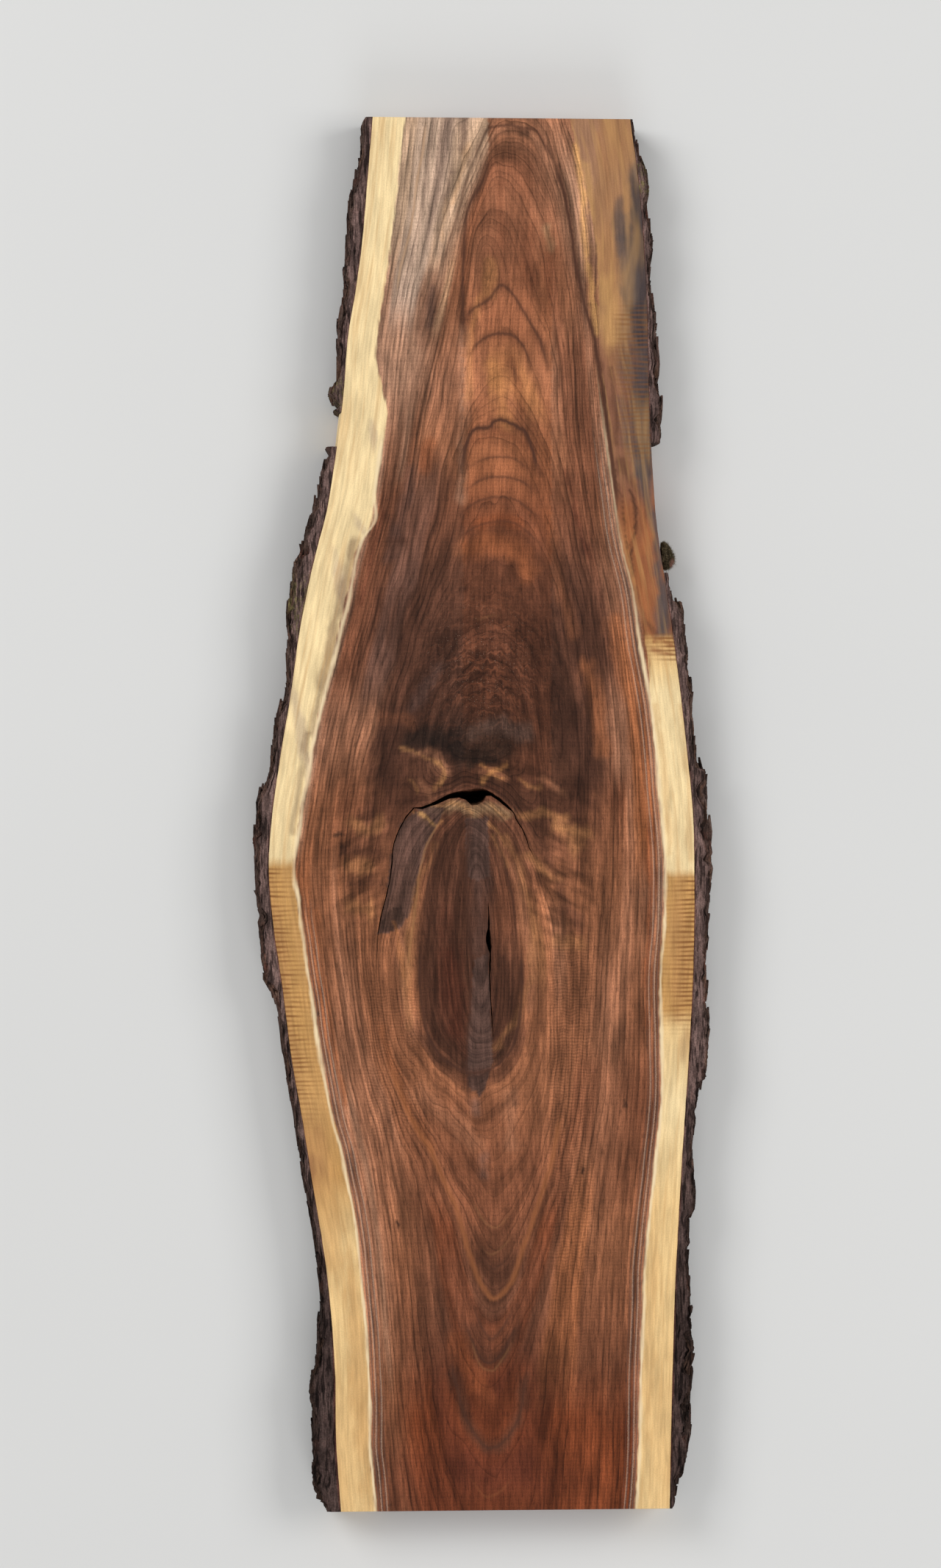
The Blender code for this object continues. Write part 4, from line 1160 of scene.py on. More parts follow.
    def painted_pass_sheen(self):
        """Painted sheen of the planer's three passes: the middle of the upper half is tinted redder than its
        sides, which are tinted bluer, as each pass catches the light differently.
        """
        upper = window(self.rows, *PASS_ROWS)
        middle = window(self.columns, *PASS_COLUMNS)
        shift = np.where(middle[:, None] > 0.5, np.array(MIDDLE_PASS), np.array(OUTER_PASS))
        self.colour *= 1 + (shift - 1) * upper[:, None]

    def crisp(self, lines):
        """The nearest of some thin lines: how far off, in half widths, how strong, and its colour."""
        count = len(self.rows)
        best, off, amount = np.full(count, 1e9), np.full(count, 9.0), np.zeros(count)
        colour = np.tile(linear("pale_line"), (count, 1))
        for name, strength, width, places in lines:
            line = flowing(places)
            index = self.near(line, LINE_REACH)
            rows, columns = self.slightly_bent(index)
            gap = distance_to(line, rows, columns)
            nearer = np.abs(gap) < np.minimum(best[index], 12)
            index, gap = index[nearer], gap[nearer]
            best[index] = np.abs(gap)
            off[index] = gap / (width / 2)
            rows, columns = rows[nearer], columns[nearer]
            ends = [np.hypot(rows - row, columns - column) for row, column in line[[0, -1]]]
            fade = smooth(*LINE_FADE, np.minimum(*ends))
            amount[index] = strength * fade * np.clip((width / 2 + 4.5 - np.abs(gap)) / 3, 0, 1)
            colour[index] = linear(name)
        return off, amount, colour


def pale_line(rows, columns, left):
    """The pale line at each point: how far to the right of it, that in half widths, and its strength."""
    off = columns - np.where(left, curve_through(PALE_LEFT, rows), curve_through(PALE_RIGHT, rows))
    full = smooth(*PALE_FULL_ROWS, rows)
    on_right = PALE_FAINT * smooth(*PALE_RIGHT_ROWS, rows) + (1 - PALE_FAINT) * full
    strength = np.where(left, smooth(*PALE_LEFT_ROWS, rows), on_right)
    strength = strength * np.clip((PALE_REACH - np.abs(off)) / 3, 0, 1)
    strength = strength * (0.72 + 0.4 * rough(rows / 38, left * 9.0, 46))
    half_left = PALE_HALF_LEFT - PALE_HALF_CHANGE * smooth(*PALE_NARROWS, rows)
    half = np.where(left, half_left, PALE_HALF_RIGHT + PALE_HALF_CHANGE * full)
    return off, off / (half * (1 + 0.5 * rough(rows / 30, rows * 0, 44))), strength


def blobs(given, rows, columns):
    """Soft round spots: (amount, centre, half height, half width) of each, added up."""
    made = np.zeros(len(rows))
    for amount, centre, high, wide in given:
        made += amount * np.exp(-((rows - centre[0]) / high) ** 2 - ((columns - centre[1]) / wide) ** 2)
    return np.clip(made, 0, 1)


def bars_across(rows, columns, left):
    """Where the planer left bars across the sapwood."""
    both = np.where(left, window(rows, *BARS_LEFT), window(rows, *BARS_RIGHT))
    wedge = WEDGE_SHARE * window(rows, *WEDGE_BARS) * smooth(*WEDGE_COLUMNS, columns)
    return np.maximum(both, (window(rows, *TORN_BARS) + wedge) * ~left)


def paint_wood(columns, rows, ring, depth):
    """Everything the wood's material reads at each point, by name."""
    p = Painting(columns, rows, ring)
    p.heart_wash()
    for band in BANDS:
        p.band(*band)
    p.stripes(STRIPES)
    for spot in SPOTS:
        p.spot(*spot)
    for stroke in STROKES:
        p.stroke(*stroke)
    for patch in PATCHES:
        p.patch(*patch)
    for name, amount, width, places in FLECKS:
        p.stroke(name, amount * FLECK_SHARE, width, places)
    for amount, width, places in DARK_LINES:
        p.stroke("umber", amount * LINE_SHADE, width * LINE_SHADE_WIDTH, flowing(places))
    # Painted sheen of the planer's passes
    p.painted_pass_sheen()
    heart = p.colour * np.array(HEART_GAIN)
    # Painted shade: the walls and floor of the open crack and of the pith crack are darkened, as their shadow
    cracked = (rows > CRACK_ROWS[0]) & (rows < CRACK_ROWS[1])
    cracked &= (columns > CRACK_COLUMNS[0]) & (columns < CRACK_COLUMNS[1])
    cracked &= (depth > 0.2) & (depth < THICKNESS / PIXEL - 1)
    heart[cracked] *= CRACK_SHADE
    left, right = (p.wash(SAP_WASHES[side], SAP_SWAY) for side in ("left", "right"))
    p.colour = np.where(p.left[:, None], left, right)
    for spot in SAP_SPOTS:
        p.spot(*spot)
    for stroke in SAP_STROKES:
        p.stroke(*stroke)
    cream_left, cream_right = curve_through(CREAM_LEFT, rows), curve_through(CREAM_RIGHT, rows)
    edge = np.where(p.left, cream_left - columns, columns - cream_right)
    inner = smooth(*EDGE_FADE, depth)
    edge = edge * (1 - inner) + (ring - HEART_EDGE) * PIXELS_PER_RING * inner
    dark_at, dark, _ = p.crisp([("ink", *line) for line in DARK_LINES])
    light_at, light, glow = p.crisp(LIGHT_LINES)
    off, pale_at, pale = pale_line(rows, columns, p.left)
    ripples = [share * window(rows, *down) * window(columns, *across) for share, down, across in RIPPLES]
    bars = bars_across(rows, columns, p.left) * np.clip(edge / BAR_REACH, BAR_FAINTEST, 1)
    on_face = {
        "dark": dark, "light": light, "pale": pale, "ripple": np.maximum(*ripples), "bars": bars,
        "flecks_and_glints": blobs(FLECKS_AND_GLINTS, rows, columns), "figure": blobs(FIGURE, rows, columns),
        "rim_lines": np.where(p.left, smooth(*RIM_LEFT_ROWS, rows), smooth(*RIM_RIGHT_ROWS, rows)),
    }
    shallow = 1 - smooth(*FACE_FADE, depth)
    return {
        "paint": heart, "sap": p.colour, "edge": edge, "glow": glow, "dark_at": dark_at,
        "light_at": light_at, "pale_at": pale_at, "rim": np.where(p.left, off, -off),
        **{name: values * shallow for name, values in on_face.items()},
    }


# Materials


class Nodes:
    """A material's node tree, built up call by call."""

    def __init__(self, name):
        self.material = bpy.data.materials.new(name)
        self.material.use_nodes = True
        self.tree = self.material.node_tree
        self.tree.nodes.clear()
        self.output = self.tree.nodes.new("ShaderNodeOutputMaterial")
        self.shader = self.tree.nodes.new("ShaderNodeBsdfPrincipled")
        self.tree.links.new(self.shader.outputs[0], self.output.inputs["Surface"])

    def put(self, socket, value):
        if isinstance(value, bpy.types.NodeSocket):
            self.tree.links.new(value, socket)
        elif isinstance(value, tuple) and len(value) == 3 and socket.type == "RGBA":
            socket.default_value = (*value, 1)
        else:
            socket.default_value = value

    def attribute(self, name, output="Fac"):
        node = self.tree.nodes.new("ShaderNodeAttribute")
        node.attribute_name = name
        return node.outputs[output]

    def math(self, operation, *values):
        node = self.tree.nodes.new("ShaderNodeMath")
        node.operation = operation
        for socket, value in zip(node.inputs, values):
            self.put(socket, value)
        return node.outputs[0]

    def times(self, value, *factors):
        for factor in factors:
            value = self.math("MULTIPLY", value, factor)
        return value

    def ramp(self, value, low, high, to_low=0.0, to_high=1.0):
        """A smooth step between two values."""
        node = self.tree.nodes.new("ShaderNodeMapRange")
        node.interpolation_type = "SMOOTHSTEP"
        for socket, given in zip(node.inputs, (value, low, high, to_low, to_high)):
            self.put(socket, given)
        return node.outputs[0]

    def mix(self, share, colour, other, blend="MIX"):
        node = self.tree.nodes.new("ShaderNodeMix")
        node.data_type = "RGBA"
        node.blend_type = blend
        self.put(node.inputs[0], share)
        self.put(node.inputs[6], colour)
        self.put(node.inputs[7], other)
        return node.outputs[2]

    def place(self, x, y, z=0.0):
        node = self.tree.nodes.new("ShaderNodeCombineXYZ")
        for socket, value in zip(node.inputs, (x, y, z)):
            self.put(socket, value)
        return node.outputs[0]

    def apart(self, vector):
        node = self.tree.nodes.new("ShaderNodeSeparateXYZ")
        self.put(node.inputs[0], vector)
        return node.outputs

    def noise(self, vector, scale, detail=2.0, roughness=0.5):
        node = self.tree.nodes.new("ShaderNodeTexNoise")
        self.put(node.inputs["Vector"], vector)
        node.inputs["Scale"].default_value = scale
        node.inputs["Detail"].default_value = detail
        node.inputs["Roughness"].default_value = roughness
        return node.outputs["Fac"]

    def position(self):
        return self.tree.nodes.new("ShaderNodeTexCoord").outputs["Object"]

    def scaled(self, value, colour):
        """A colour times a number."""
        node = self.tree.nodes.new("ShaderNodeVectorMath")
        node.operation = "SCALE"
        self.put(node.inputs[0], colour)
        self.put(node.inputs["Scale"], value)
        return node.outputs[0]

    def finish(self, colour, roughness, height=None, bump=0.3, reach=0.001):
        self.put(self.shader.inputs["Base Color"], colour)
        self.put(self.shader.inputs["Roughness"], roughness)
        if height is not None:
            node = self.tree.nodes.new("ShaderNodeBump")
            node.inputs["Strength"].default_value = bump
            node.inputs["Distance"].default_value = reach
            self.put(node.inputs["Height"], height)
            self.put(self.shader.inputs["Normal"], node.outputs[0])
        return self.material


# The wood's noises: what each runs over, its factors for that, for the row and for the level, an offset
# in place of the level, its detail and its roughness
WOOD_NOISES = {
    "bands": ("ring", 1.1, 0.008, 0.02, 0.0, 2.0, 0.5), "streaks": ("flow", 0.45, 0.02, 0.35, 0.0, 2.0, 0.6),
    "pores": ("flow", 1.3, 0.09, 0.8, 0.0, 0.0, 0.5), "blots": ("column", 0.04, 0.014, 0.04, 0.0, 2.0, 0.5),
    "grain": ("column", 0.6, 0.6, 0.6, 0.0, 1.0, 0.6), "painted_glints": ("column", 0.9, 0.9, 0.0, 4.5, 0.0, 0.5),
    "sway": ("column", 0.09, 0.05, 0.0, 0.0, 0.0, 0.5), "ruffle": ("column", 0.11, 0.07, 0.0, 2.0, 1.0, 0.5),
    "fray": ("column", 0.3, 0.05, 0.0, 0.0, 1.0, 0.5),
    "bar_sway": ("column", 0.012, 0.03, 0.0, 0.0, 0.0, 0.5),
    "bar_reach": ("column", 0.03, 0.14, 0.0, 7.0, 1.0, 0.5),
}
# What they do to the brightness of the heartwood and of the sapwood: (noise, from, to, darkest, lightest)
HEART_TONES = (
    ("bands", 0.3, 0.7, 0.69, 1.33), ("streaks", 0.3, 0.7, 0.78, 1.24), ("blots", 0.3, 0.7, 0.8, 1.2),
    ("grain", 0.3, 0.7, 0.87, 1.13),
)
SAP_TONES = (
    ("streaks", 0.25, 0.75, 0.82, 1.1), ("grain", 0.3, 0.7, 0.93, 1.05), ("blots", 0.3, 0.7, 0.9, 1.08),
)
# Late-wood lines: their width in pixels, then a seed and the faintest and strongest, for years and thirds
LATE_WOOD, YEARS, THIRDS = 3.4, (7.31, (0.06, 0.46)), (5.17, (0.0, 0.3))
# How far the rings wander, how much they darken before each line, and where lines fade, by ring or spacing
ROAM, SWELL, INNER_FADE = (7.0, 30.0, 0.9, 0.28), 0.12, (8.0, 23.0, 0.35, 1.0)
YEAR_FADE, THIRD_FADE = (12.0, 34.0, 1.0, 0.45), (7.0, 14.0)
PORE_SPAN, PORE_TONES = (0.58, 0.72), (0.0, 1.0, 1.03, 0.74)
# Waves down the board: (waves to a pixel and how far a noise bends them), then their strength
RIPPLE, RIPPLE_TONE, FINE_RIPPLE, FINE_RIPPLE_TONE = (1.5, 9.0), 0.14, (1.2, 5.0), 0.055
BAR_WAVE, BAR_SPAN, BAR_SHARE, BAR_PAINT = (1.0, 7.0), (-0.7, 0.9), (0.28, 0.62, 0.25, 1.0), 0.85
# Licks above the knot: an arch's half width and rise, a ruffle, then factors, and their tones
ARCH, RUFFLE, LICK_FACTORS, LICK_TONES = (75.0, 30.0), 26.0, (0.035, 0.15), (0.36, 0.7, 0.6, 1.55)
# The embers' tones and share, then the span and share of the glints: bright sand-coloured specks painted into
# the dark wood above the knot, a painted highlight of its finish's sparkle
EMBER_LICKS, EMBER_SHARE, PAINTED_GLINT_SPAN, PAINTED_GLINT_SHARE = (1.1, 1.7), 0.22, (0.78, 0.84), 0.5
# Curls beside the knot: how they lean, their factors and their tones
CURL_LEAN, CURL_FACTORS, CURL_TONES = 0.45, (0.022, 0.055), (0.34, 0.64, 0.5, 1.35)
# Thin lines inside the heartwood's edge: (colour, waves to a pixel, from, to, share), between some distances
RIM_LINES = (("slate", 1.3, 0.1, 0.9, 0.55), ("sand", 0.8, 0.6, 1.0, 0.5))
RIM_START, RIM_END = (2.0, 5.0), (24.0, 14.0)
SAP_GOLD = (0.45, 0.75, 0.0, 0.4)
EDGE_FRAY, EDGE_SOFTNESS, LINE_FRAY, LINE_SOFTNESS = 7.0, 2.2, 1.6, 2.2


def wood_material():
    n = Nodes("walnut_wood_look")
    ring, spacing, flecks_and_glints = n.attribute("ring"), n.attribute("spacing"), n.attribute("flecks_and_glints")
    x, y, z = n.apart(n.position())
    column, row = n.math("DIVIDE", x, PIXEL), n.math("DIVIDE", y, -PIXEL)
    level = n.math("DIVIDE", z, PIXEL)
    runs = {"ring": ring, "flow": n.attribute("flow"), "column": column}

    times = n.times

    def plus(value, other):
        return n.math("ADD", value, other)

    def minus(value, other):
        return n.math("SUBTRACT", value, other)

    def speckle(over, across, down, deep, offset, detail, roughness):
        place = n.place(times(runs[over], across), times(row, down), times(level, deep) if deep else offset)
        return n.noise(place, 1.0, detail, roughness)

    def ring_lines(counted, apart, seed, strength):
        """Thin late-wood lines, each year of its own strength."""
        before = times(minus(1.0, n.math("FRACT", counted)), apart)
        year = n.noise(n.place(times(n.math("FLOOR", counted), seed), times(row, 0.006)), 1.0, 1.0)
        return times(n.ramp(before, 0.0, LATE_WOOD, 1.0, 0.0), n.ramp(year, 0.3, 0.7, *strength))

    def waves(value, pitch, noise_value, bend):
        return n.math("SINE", plus(times(value, pitch), times(noise_value, bend)))

    def toned(tone, layers):
        for name, *reach in layers:
            tone = times(tone, n.ramp(noises[name], *reach))
        return tone

    def where(share, tone):
        """A tone where share is 1, and 1 where it is 0."""
        return plus(1.0, times(minus(tone, 1.0), share))

    noises = {name: speckle(*given) for name, given in WOOD_NOISES.items()}
    wander = n.noise(n.place(times(column, 0.05), times(row, 0.012), ring), 1.0, 1.0)
    counted = plus(ring, times(minus(wander, 0.5), n.ramp(spacing, *ROAM)))
    late = times(ring_lines(counted, spacing, *YEARS), n.ramp(spacing, *YEAR_FADE))
    third = ring_lines(times(counted, 3.0), n.math("DIVIDE", spacing, 3.0), *THIRDS)
    third = times(third, n.ramp(spacing, *THIRD_FADE))
    lines = times(n.math("MAXIMUM", late, third), n.ramp(ring, *INNER_FADE))
    swell = times(n.math("POWER", n.math("FRACT", counted), 3.0), SWELL)
    pore = n.ramp(noises["pores"], *PORE_SPAN)
    tone = times(toned(minus(1.0, plus(lines, swell)), HEART_TONES), n.ramp(pore, *PORE_TONES))
    ripple = waves(row, RIPPLE[0], noises["sway"], RIPPLE[1])
    tone = times(tone, plus(1.0, times(ripple, n.attribute("ripple"), RIPPLE_TONE)))
    fine_ripple = waves(row, FINE_RIPPLE[0], noises["streaks"], FINE_RIPPLE[1])
    tone = times(tone, plus(1.0, times(fine_ripple, FINE_RIPPLE_TONE)))
    arch = times(n.math("POWER", n.math("DIVIDE", column, ARCH[0]), 2.0), ARCH[1])
    bent = plus(minus(row, arch), times(noises["ruffle"], RUFFLE))
    licks = n.place(times(column, LICK_FACTORS[0]), times(bent, LICK_FACTORS[1]), 3.0)
    lick = n.ramp(n.noise(licks, 1.0, 2.0, 0.6), *LICK_TONES)
    leant = minus(row, times(n.math("ABSOLUTE", column), CURL_LEAN))
    curls = n.place(times(column, CURL_FACTORS[0]), times(leant, CURL_FACTORS[1]), 9.0)
    curl = n.ramp(n.noise(curls, 1.0, 2.0, 0.5), *CURL_TONES)
    tone = times(tone, where(flecks_and_glints, lick), where(n.attribute("figure"), curl))
    heart = n.scaled(tone, n.attribute("paint", "Color"))
    heart = n.mix(times(n.ramp(lick, *EMBER_LICKS), flecks_and_glints, EMBER_SHARE), heart, tuple(linear("ember")))
    # Painted highlight: sparse bright specks in the dark wood above the knot, in place of the finish's
    # sparkle
    painted_glint = n.ramp(noises["painted_glints"], *PAINTED_GLINT_SPAN)
    heart = n.mix(times(painted_glint, flecks_and_glints, PAINTED_GLINT_SHARE), heart, tuple(linear("sand")))
    rim = n.attribute("rim")
    zone = times(n.ramp(rim, *RIM_START), n.ramp(rim, *RIM_END), n.attribute("rim_lines"))
    for name, pitch, low, high, share in RIM_LINES:
        wave = n.ramp(waves(rim, pitch, noises["grain"], 2.0), low, high)
        heart = n.mix(times(wave, zone, share), heart, tuple(linear(name)))

    bar_wave = waves(row, BAR_WAVE[0], noises["bar_sway"], BAR_WAVE[1])
    bar = times(n.ramp(bar_wave, *BAR_SPAN), n.ramp(noises["bar_reach"], *BAR_SHARE))
    sap = n.scaled(toned(1.0, SAP_TONES), n.attribute("sap", "Color"))
    sap = n.mix(n.ramp(noises["bands"], *SAP_GOLD), sap, tuple(linear("gold")))
    sap = n.mix(times(bar, n.attribute("bars"), BAR_PAINT), sap, tuple(linear("bar")))

    fray = minus(noises["fray"], 0.5)
    edge = plus(n.attribute("edge"), times(fray, EDGE_FRAY))
    colour = n.mix(n.ramp(edge, -EDGE_SOFTNESS, EDGE_SOFTNESS), heart, sap)
    for name, paint in (("dark", tuple(linear("umber"))), ("light", n.attribute("glow", "Color")),
                        ("pale", tuple(linear("pale_line")))):
        gap = n.math("ABSOLUTE", plus(n.attribute(name + "_at"), times(fray, LINE_FRAY)))
        colour = n.mix(times(n.ramp(gap, LINE_SOFTNESS, 0.0), n.attribute(name)), colour, paint)
    n.shader.inputs["Specular IOR Level"].default_value = 0.1
    return n.finish(colour, 0.6, minus(1.0, pore), bump=0.2, reach=0.0004)


# The board's width in units of flow, which runs from edge to edge however wide the board is
FLOW_WIDTH = 300


def build_slab():
    mesh = build_slab_mesh()
    places = np.empty(len(mesh.vertices) * 3)
    mesh.vertices.foreach_get("co", places)
    places = places.reshape(-1, 3)
    columns, rows = column_of(places[:, 0]), row_of(places[:, 1])
    depth = (THICKNESS - places[:, 2]) / PIXEL
    ring, spacing = RingField().below(columns, rows, depth)
    low, high = curve_through(LEFT_WOOD, rows), curve_through(RIGHT_WOOD, rows)
    looks = paint_wood(columns, rows, ring, depth)
    looks.update(ring=ring, spacing=spacing, flow=(columns - low) / (high - low) * FLOW_WIDTH)
    for name, values in looks.items():
        add_attribute(mesh, name, values)
    mesh.materials.append(wood_material())
    slab = bpy.data.objects.new("slab_wood", mesh)
    bpy.context.scene.collection.objects.link(slab)
    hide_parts("slab")
    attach(slab, "root")


# Bark

# The bark's outline as seen from above, strip by strip, from its upper to its lower end
BARK_LEFT_UPPER = (
    (160, 497), (168, 493), (190, 494), (213, 494), (226, 490), (248, 487), (256, 481.5), (283, 479),
    (289, 476), (319, 476), (327, 473), (347, 474), (364, 471), (375, 470), (386, 474), (390, 474.5),
    (413, 470), (425, 465.5), (438, 462), (453, 463), (465, 459), (473, 461), (483, 463.5), (511, 463.5),
    (526, 453), (536, 447.5), (540, 455.5), (547, 457), (552, 463), (558, 455.5), (562, 463.5),
)
BARK_LEFT_LOWER = (
    (608, 445), (613, 447), (621, 450), (629, 441), (646, 439), (673, 435), (686, 431), (701, 426.5),
    (713, 425), (726, 417), (738, 415), (746, 419), (754, 417), (757, 406.5), (769, 402.5), (786, 399.5),
    (811, 398), (832, 394), (849, 392.5), (862, 394), (870, 396), (890, 394), (910, 394), (926, 394),
    (945, 394), (956, 391.5), (968, 382.5), (983, 378), (1002, 376.5), (1039, 372.5), (1059, 369),
    (1065, 361.5), (1077, 358), (1080, 354), (1095, 352.5), (1121, 352.5), (1136, 351), (1140, 347),
    (1147, 348), (1150, 351), (1186, 350), (1213, 350), (1234, 352.5), (1246, 360), (1256, 354),
    (1272, 356), (1287, 357.5), (1309, 360.5), (1334, 361.5), (1338, 366.5), (1345, 371), (1347, 377.5),
    (1361, 379), (1378, 382.5), (1408, 385), (1429, 389), (1453, 394), (1473, 395.5), (1499, 400),
    (1516, 404), (1536, 405.5), (1555, 409), (1580, 412.5), (1608, 415), (1623, 420.5), (1643, 423),
    (1673, 429), (1696, 432.5), (1722, 435.5), (1742, 437.5), (1767, 439), (1792, 440), (1805, 434),
    (1821, 435), (1841, 433), (1859, 430.5), (1879, 423), (1900, 422.5), (1925, 429.5), (1939, 427),
    (1961, 427), (1987, 428.5), (2014, 427), (2041, 430.5), (2045, 440), (2055, 444),
)
BARK_RIGHT_UPPER = (
    (160, 861.5), (180, 864), (195, 864), (206, 868), (216, 869), (225, 879.5), (259, 884.5),
    (268, 877), (283, 877), (302, 883), (323, 886), (325, 889.5), (331, 885.5), (337, 888), (351, 883),
    (400, 882), (402, 885), (413, 888), (435, 892), (445, 893), (471, 891.5), (483, 898), (511, 897.5),
    (513, 892), (526, 893), (539, 900.5), (591, 901.5), (600, 899.5), (601, 896),
)
BARK_RIGHT_LOWER = (
    (778, 909.5), (796, 912), (814, 915), (818, 921), (827, 927), (835, 931), (865, 931.5),
    (888, 937), (910, 938), (931, 939), (943, 944), (950, 940.5), (981, 942), (1012, 944), (1031, 947),
    (1044, 949), (1046, 959.5), (1056, 962), (1085, 963), (1093, 961.5), (1118, 966), (1133, 970.5),
    (1150, 969.5), (1183, 971), (1199, 970.5), (1213, 967), (1237, 966), (1262, 964.5), (1279, 966),
    (1291, 961.5), (1319, 961.5), (1345, 963), (1366, 963), (1376, 960.5), (1386, 966), (1403, 967),
    (1426, 965.5), (1468, 963), (1475, 953), (1494, 950.5), (1519, 948), (1539, 946.5), (1569, 940.5),
    (1580, 944), (1605, 944.5), (1626, 947), (1640, 947), (1653, 944.5), (1658, 938), (1676, 936.5),
    (1693, 939.5), (1696, 935.5), (1726, 936.5), (1746, 938), (1762, 940.5), (1774, 939), (1792, 942),
    (1818, 943), (1836, 946.5), (1859, 942), (1880, 943), (1916, 938), (1929, 941), (1952, 940.5),
    (1975, 938), (2000, 933), (2009, 929), (2017, 921), (2050, 919), (2055, 916),
)
BARK_STRIPS = {
    "bark_left_upper": (-1, BARK_LEFT_UPPER, 1.4),
    "bark_left_lower": (-1, BARK_LEFT_LOWER, 2.0),
    "bark_right_upper": (1, BARK_RIGHT_UPPER, 1.4),
    "bark_right_lower": (1, BARK_RIGHT_LOWER, 1.9),
}
BARK_GAP = 0.12 * MM
BARK_THINNEST = 0.9 * MM
BARK_SINK = 0.18 * MM
BARK_FLOOR = 0.3 * MM
TOP_STEPS, OUTER_STEPS, UNDER_STEPS, INNER_STEPS = 18, 56, 6, 4
RIDGE_PITCH = 15 * MM
RIDGE_WEAVE = 62 * MM
FURROW_SHARE = 0.62
THICK_BARK = 9 * MM
RIDGE_SWAY, RIDGE_WANDER, WANDER_SIZE = 0.22, 0.35, (11 * MM, 8 * MM)
PLATE_LEVELS, PLATE_SIZE, CRUMB_SIZE = 3.5, (16 * MM, 5 * MM), (3.5 * MM, 1.6 * MM)
RIDGE_SHARE, PLATE_SHARE, CRUMB_SHARE = 0.82, 0.16, 0.10
# The strip's frayed outline in pixels, and the wood's edge that it follows, at some heights
OUTLINE_FRAY, OUTLINE_FRAY_LENGTH, EDGE_LEVELS = 1.6, 5.0, 12
# The sawn face's grooves and pits, how its outer rim droops, and the outside's waviness
GROOVE, PIT, DROOP, OUTSIDE_WAVE = 1.3 * MM, 0.25 * MM, 1.4 * MM, 0.35 * MM
OUTSIDE_TOP, OUTSIDE_CLEAR = 0.6 * MM, 0.3 * MM
FLAKES_PER_MM = 0.6
FLAKE_CORNERS = 9
FLAKE_SWING, FLAKE_RAGGED = 0.25, 0.25
FLAKE_SUNK, FLAKE_THICKNESS, FLAKE_TOP, FLAKE_FOOT = 1.1 * MM, (0.35, 0.8), 1.6 * MM, 0.4 * MM
# Lichen: the rows where it comes in and ends, and whether that is on the left
LICHEN = (((775, 795), (850, 880), True), ((505, 520), (560, 575), True), ((215, 225), (255, 270), False))
DARK_BARK_ROWS = (1350, 1800)
FLAKE_LENGTH, FLAKE_WIDTH = (7 * MM, 30 * MM), (2 * MM, 6.5 * MM)
FLAKE_LIFT = (0.0, 1.8 * MM)


def bark_relief(side, y, z, thickness):
    """How far the bark reaches at each place of its outside, as a share of its thickness."""
    drift = rough(y / RIDGE_WEAVE, y * 0 + side * 7.7, 61)
    sway = RIDGE_SWAY * np.sin(2 * math.pi * y / RIDGE_WEAVE + 2.5 * drift)
    wander = RIDGE_WANDER * rough(y / WANDER_SIZE[0], z / WANDER_SIZE[1], 62)
    place = z / RIDGE_PITCH + drift + wander * 0.5
    one, other = (0.5 + 0.5 * np.cos(2 * math.pi * (place + turn)) for turn in (sway, -sway))
    ridge = np.maximum(one, other) ** 0.7
    plates = np.floor(PLATE_LEVELS * rough(y / PLATE_SIZE[0], z / PLATE_SIZE[1], 63)) / PLATE_LEVELS
    crumbs = rough(y / CRUMB_SIZE[0], z / CRUMB_SIZE[1], 64)
    height = RIDGE_SHARE * ridge + PLATE_SHARE * plates + CRUMB_SHARE * crumbs
    height = height / np.maximum(height.max(axis=1, keepdims=True), 0.3)
    relief = FURROW_SHARE * np.clip(thickness / THICK_BARK, 0.35, 1.0)
    return 1 - relief * (1 - np.clip(height, 0, 1)), ridge


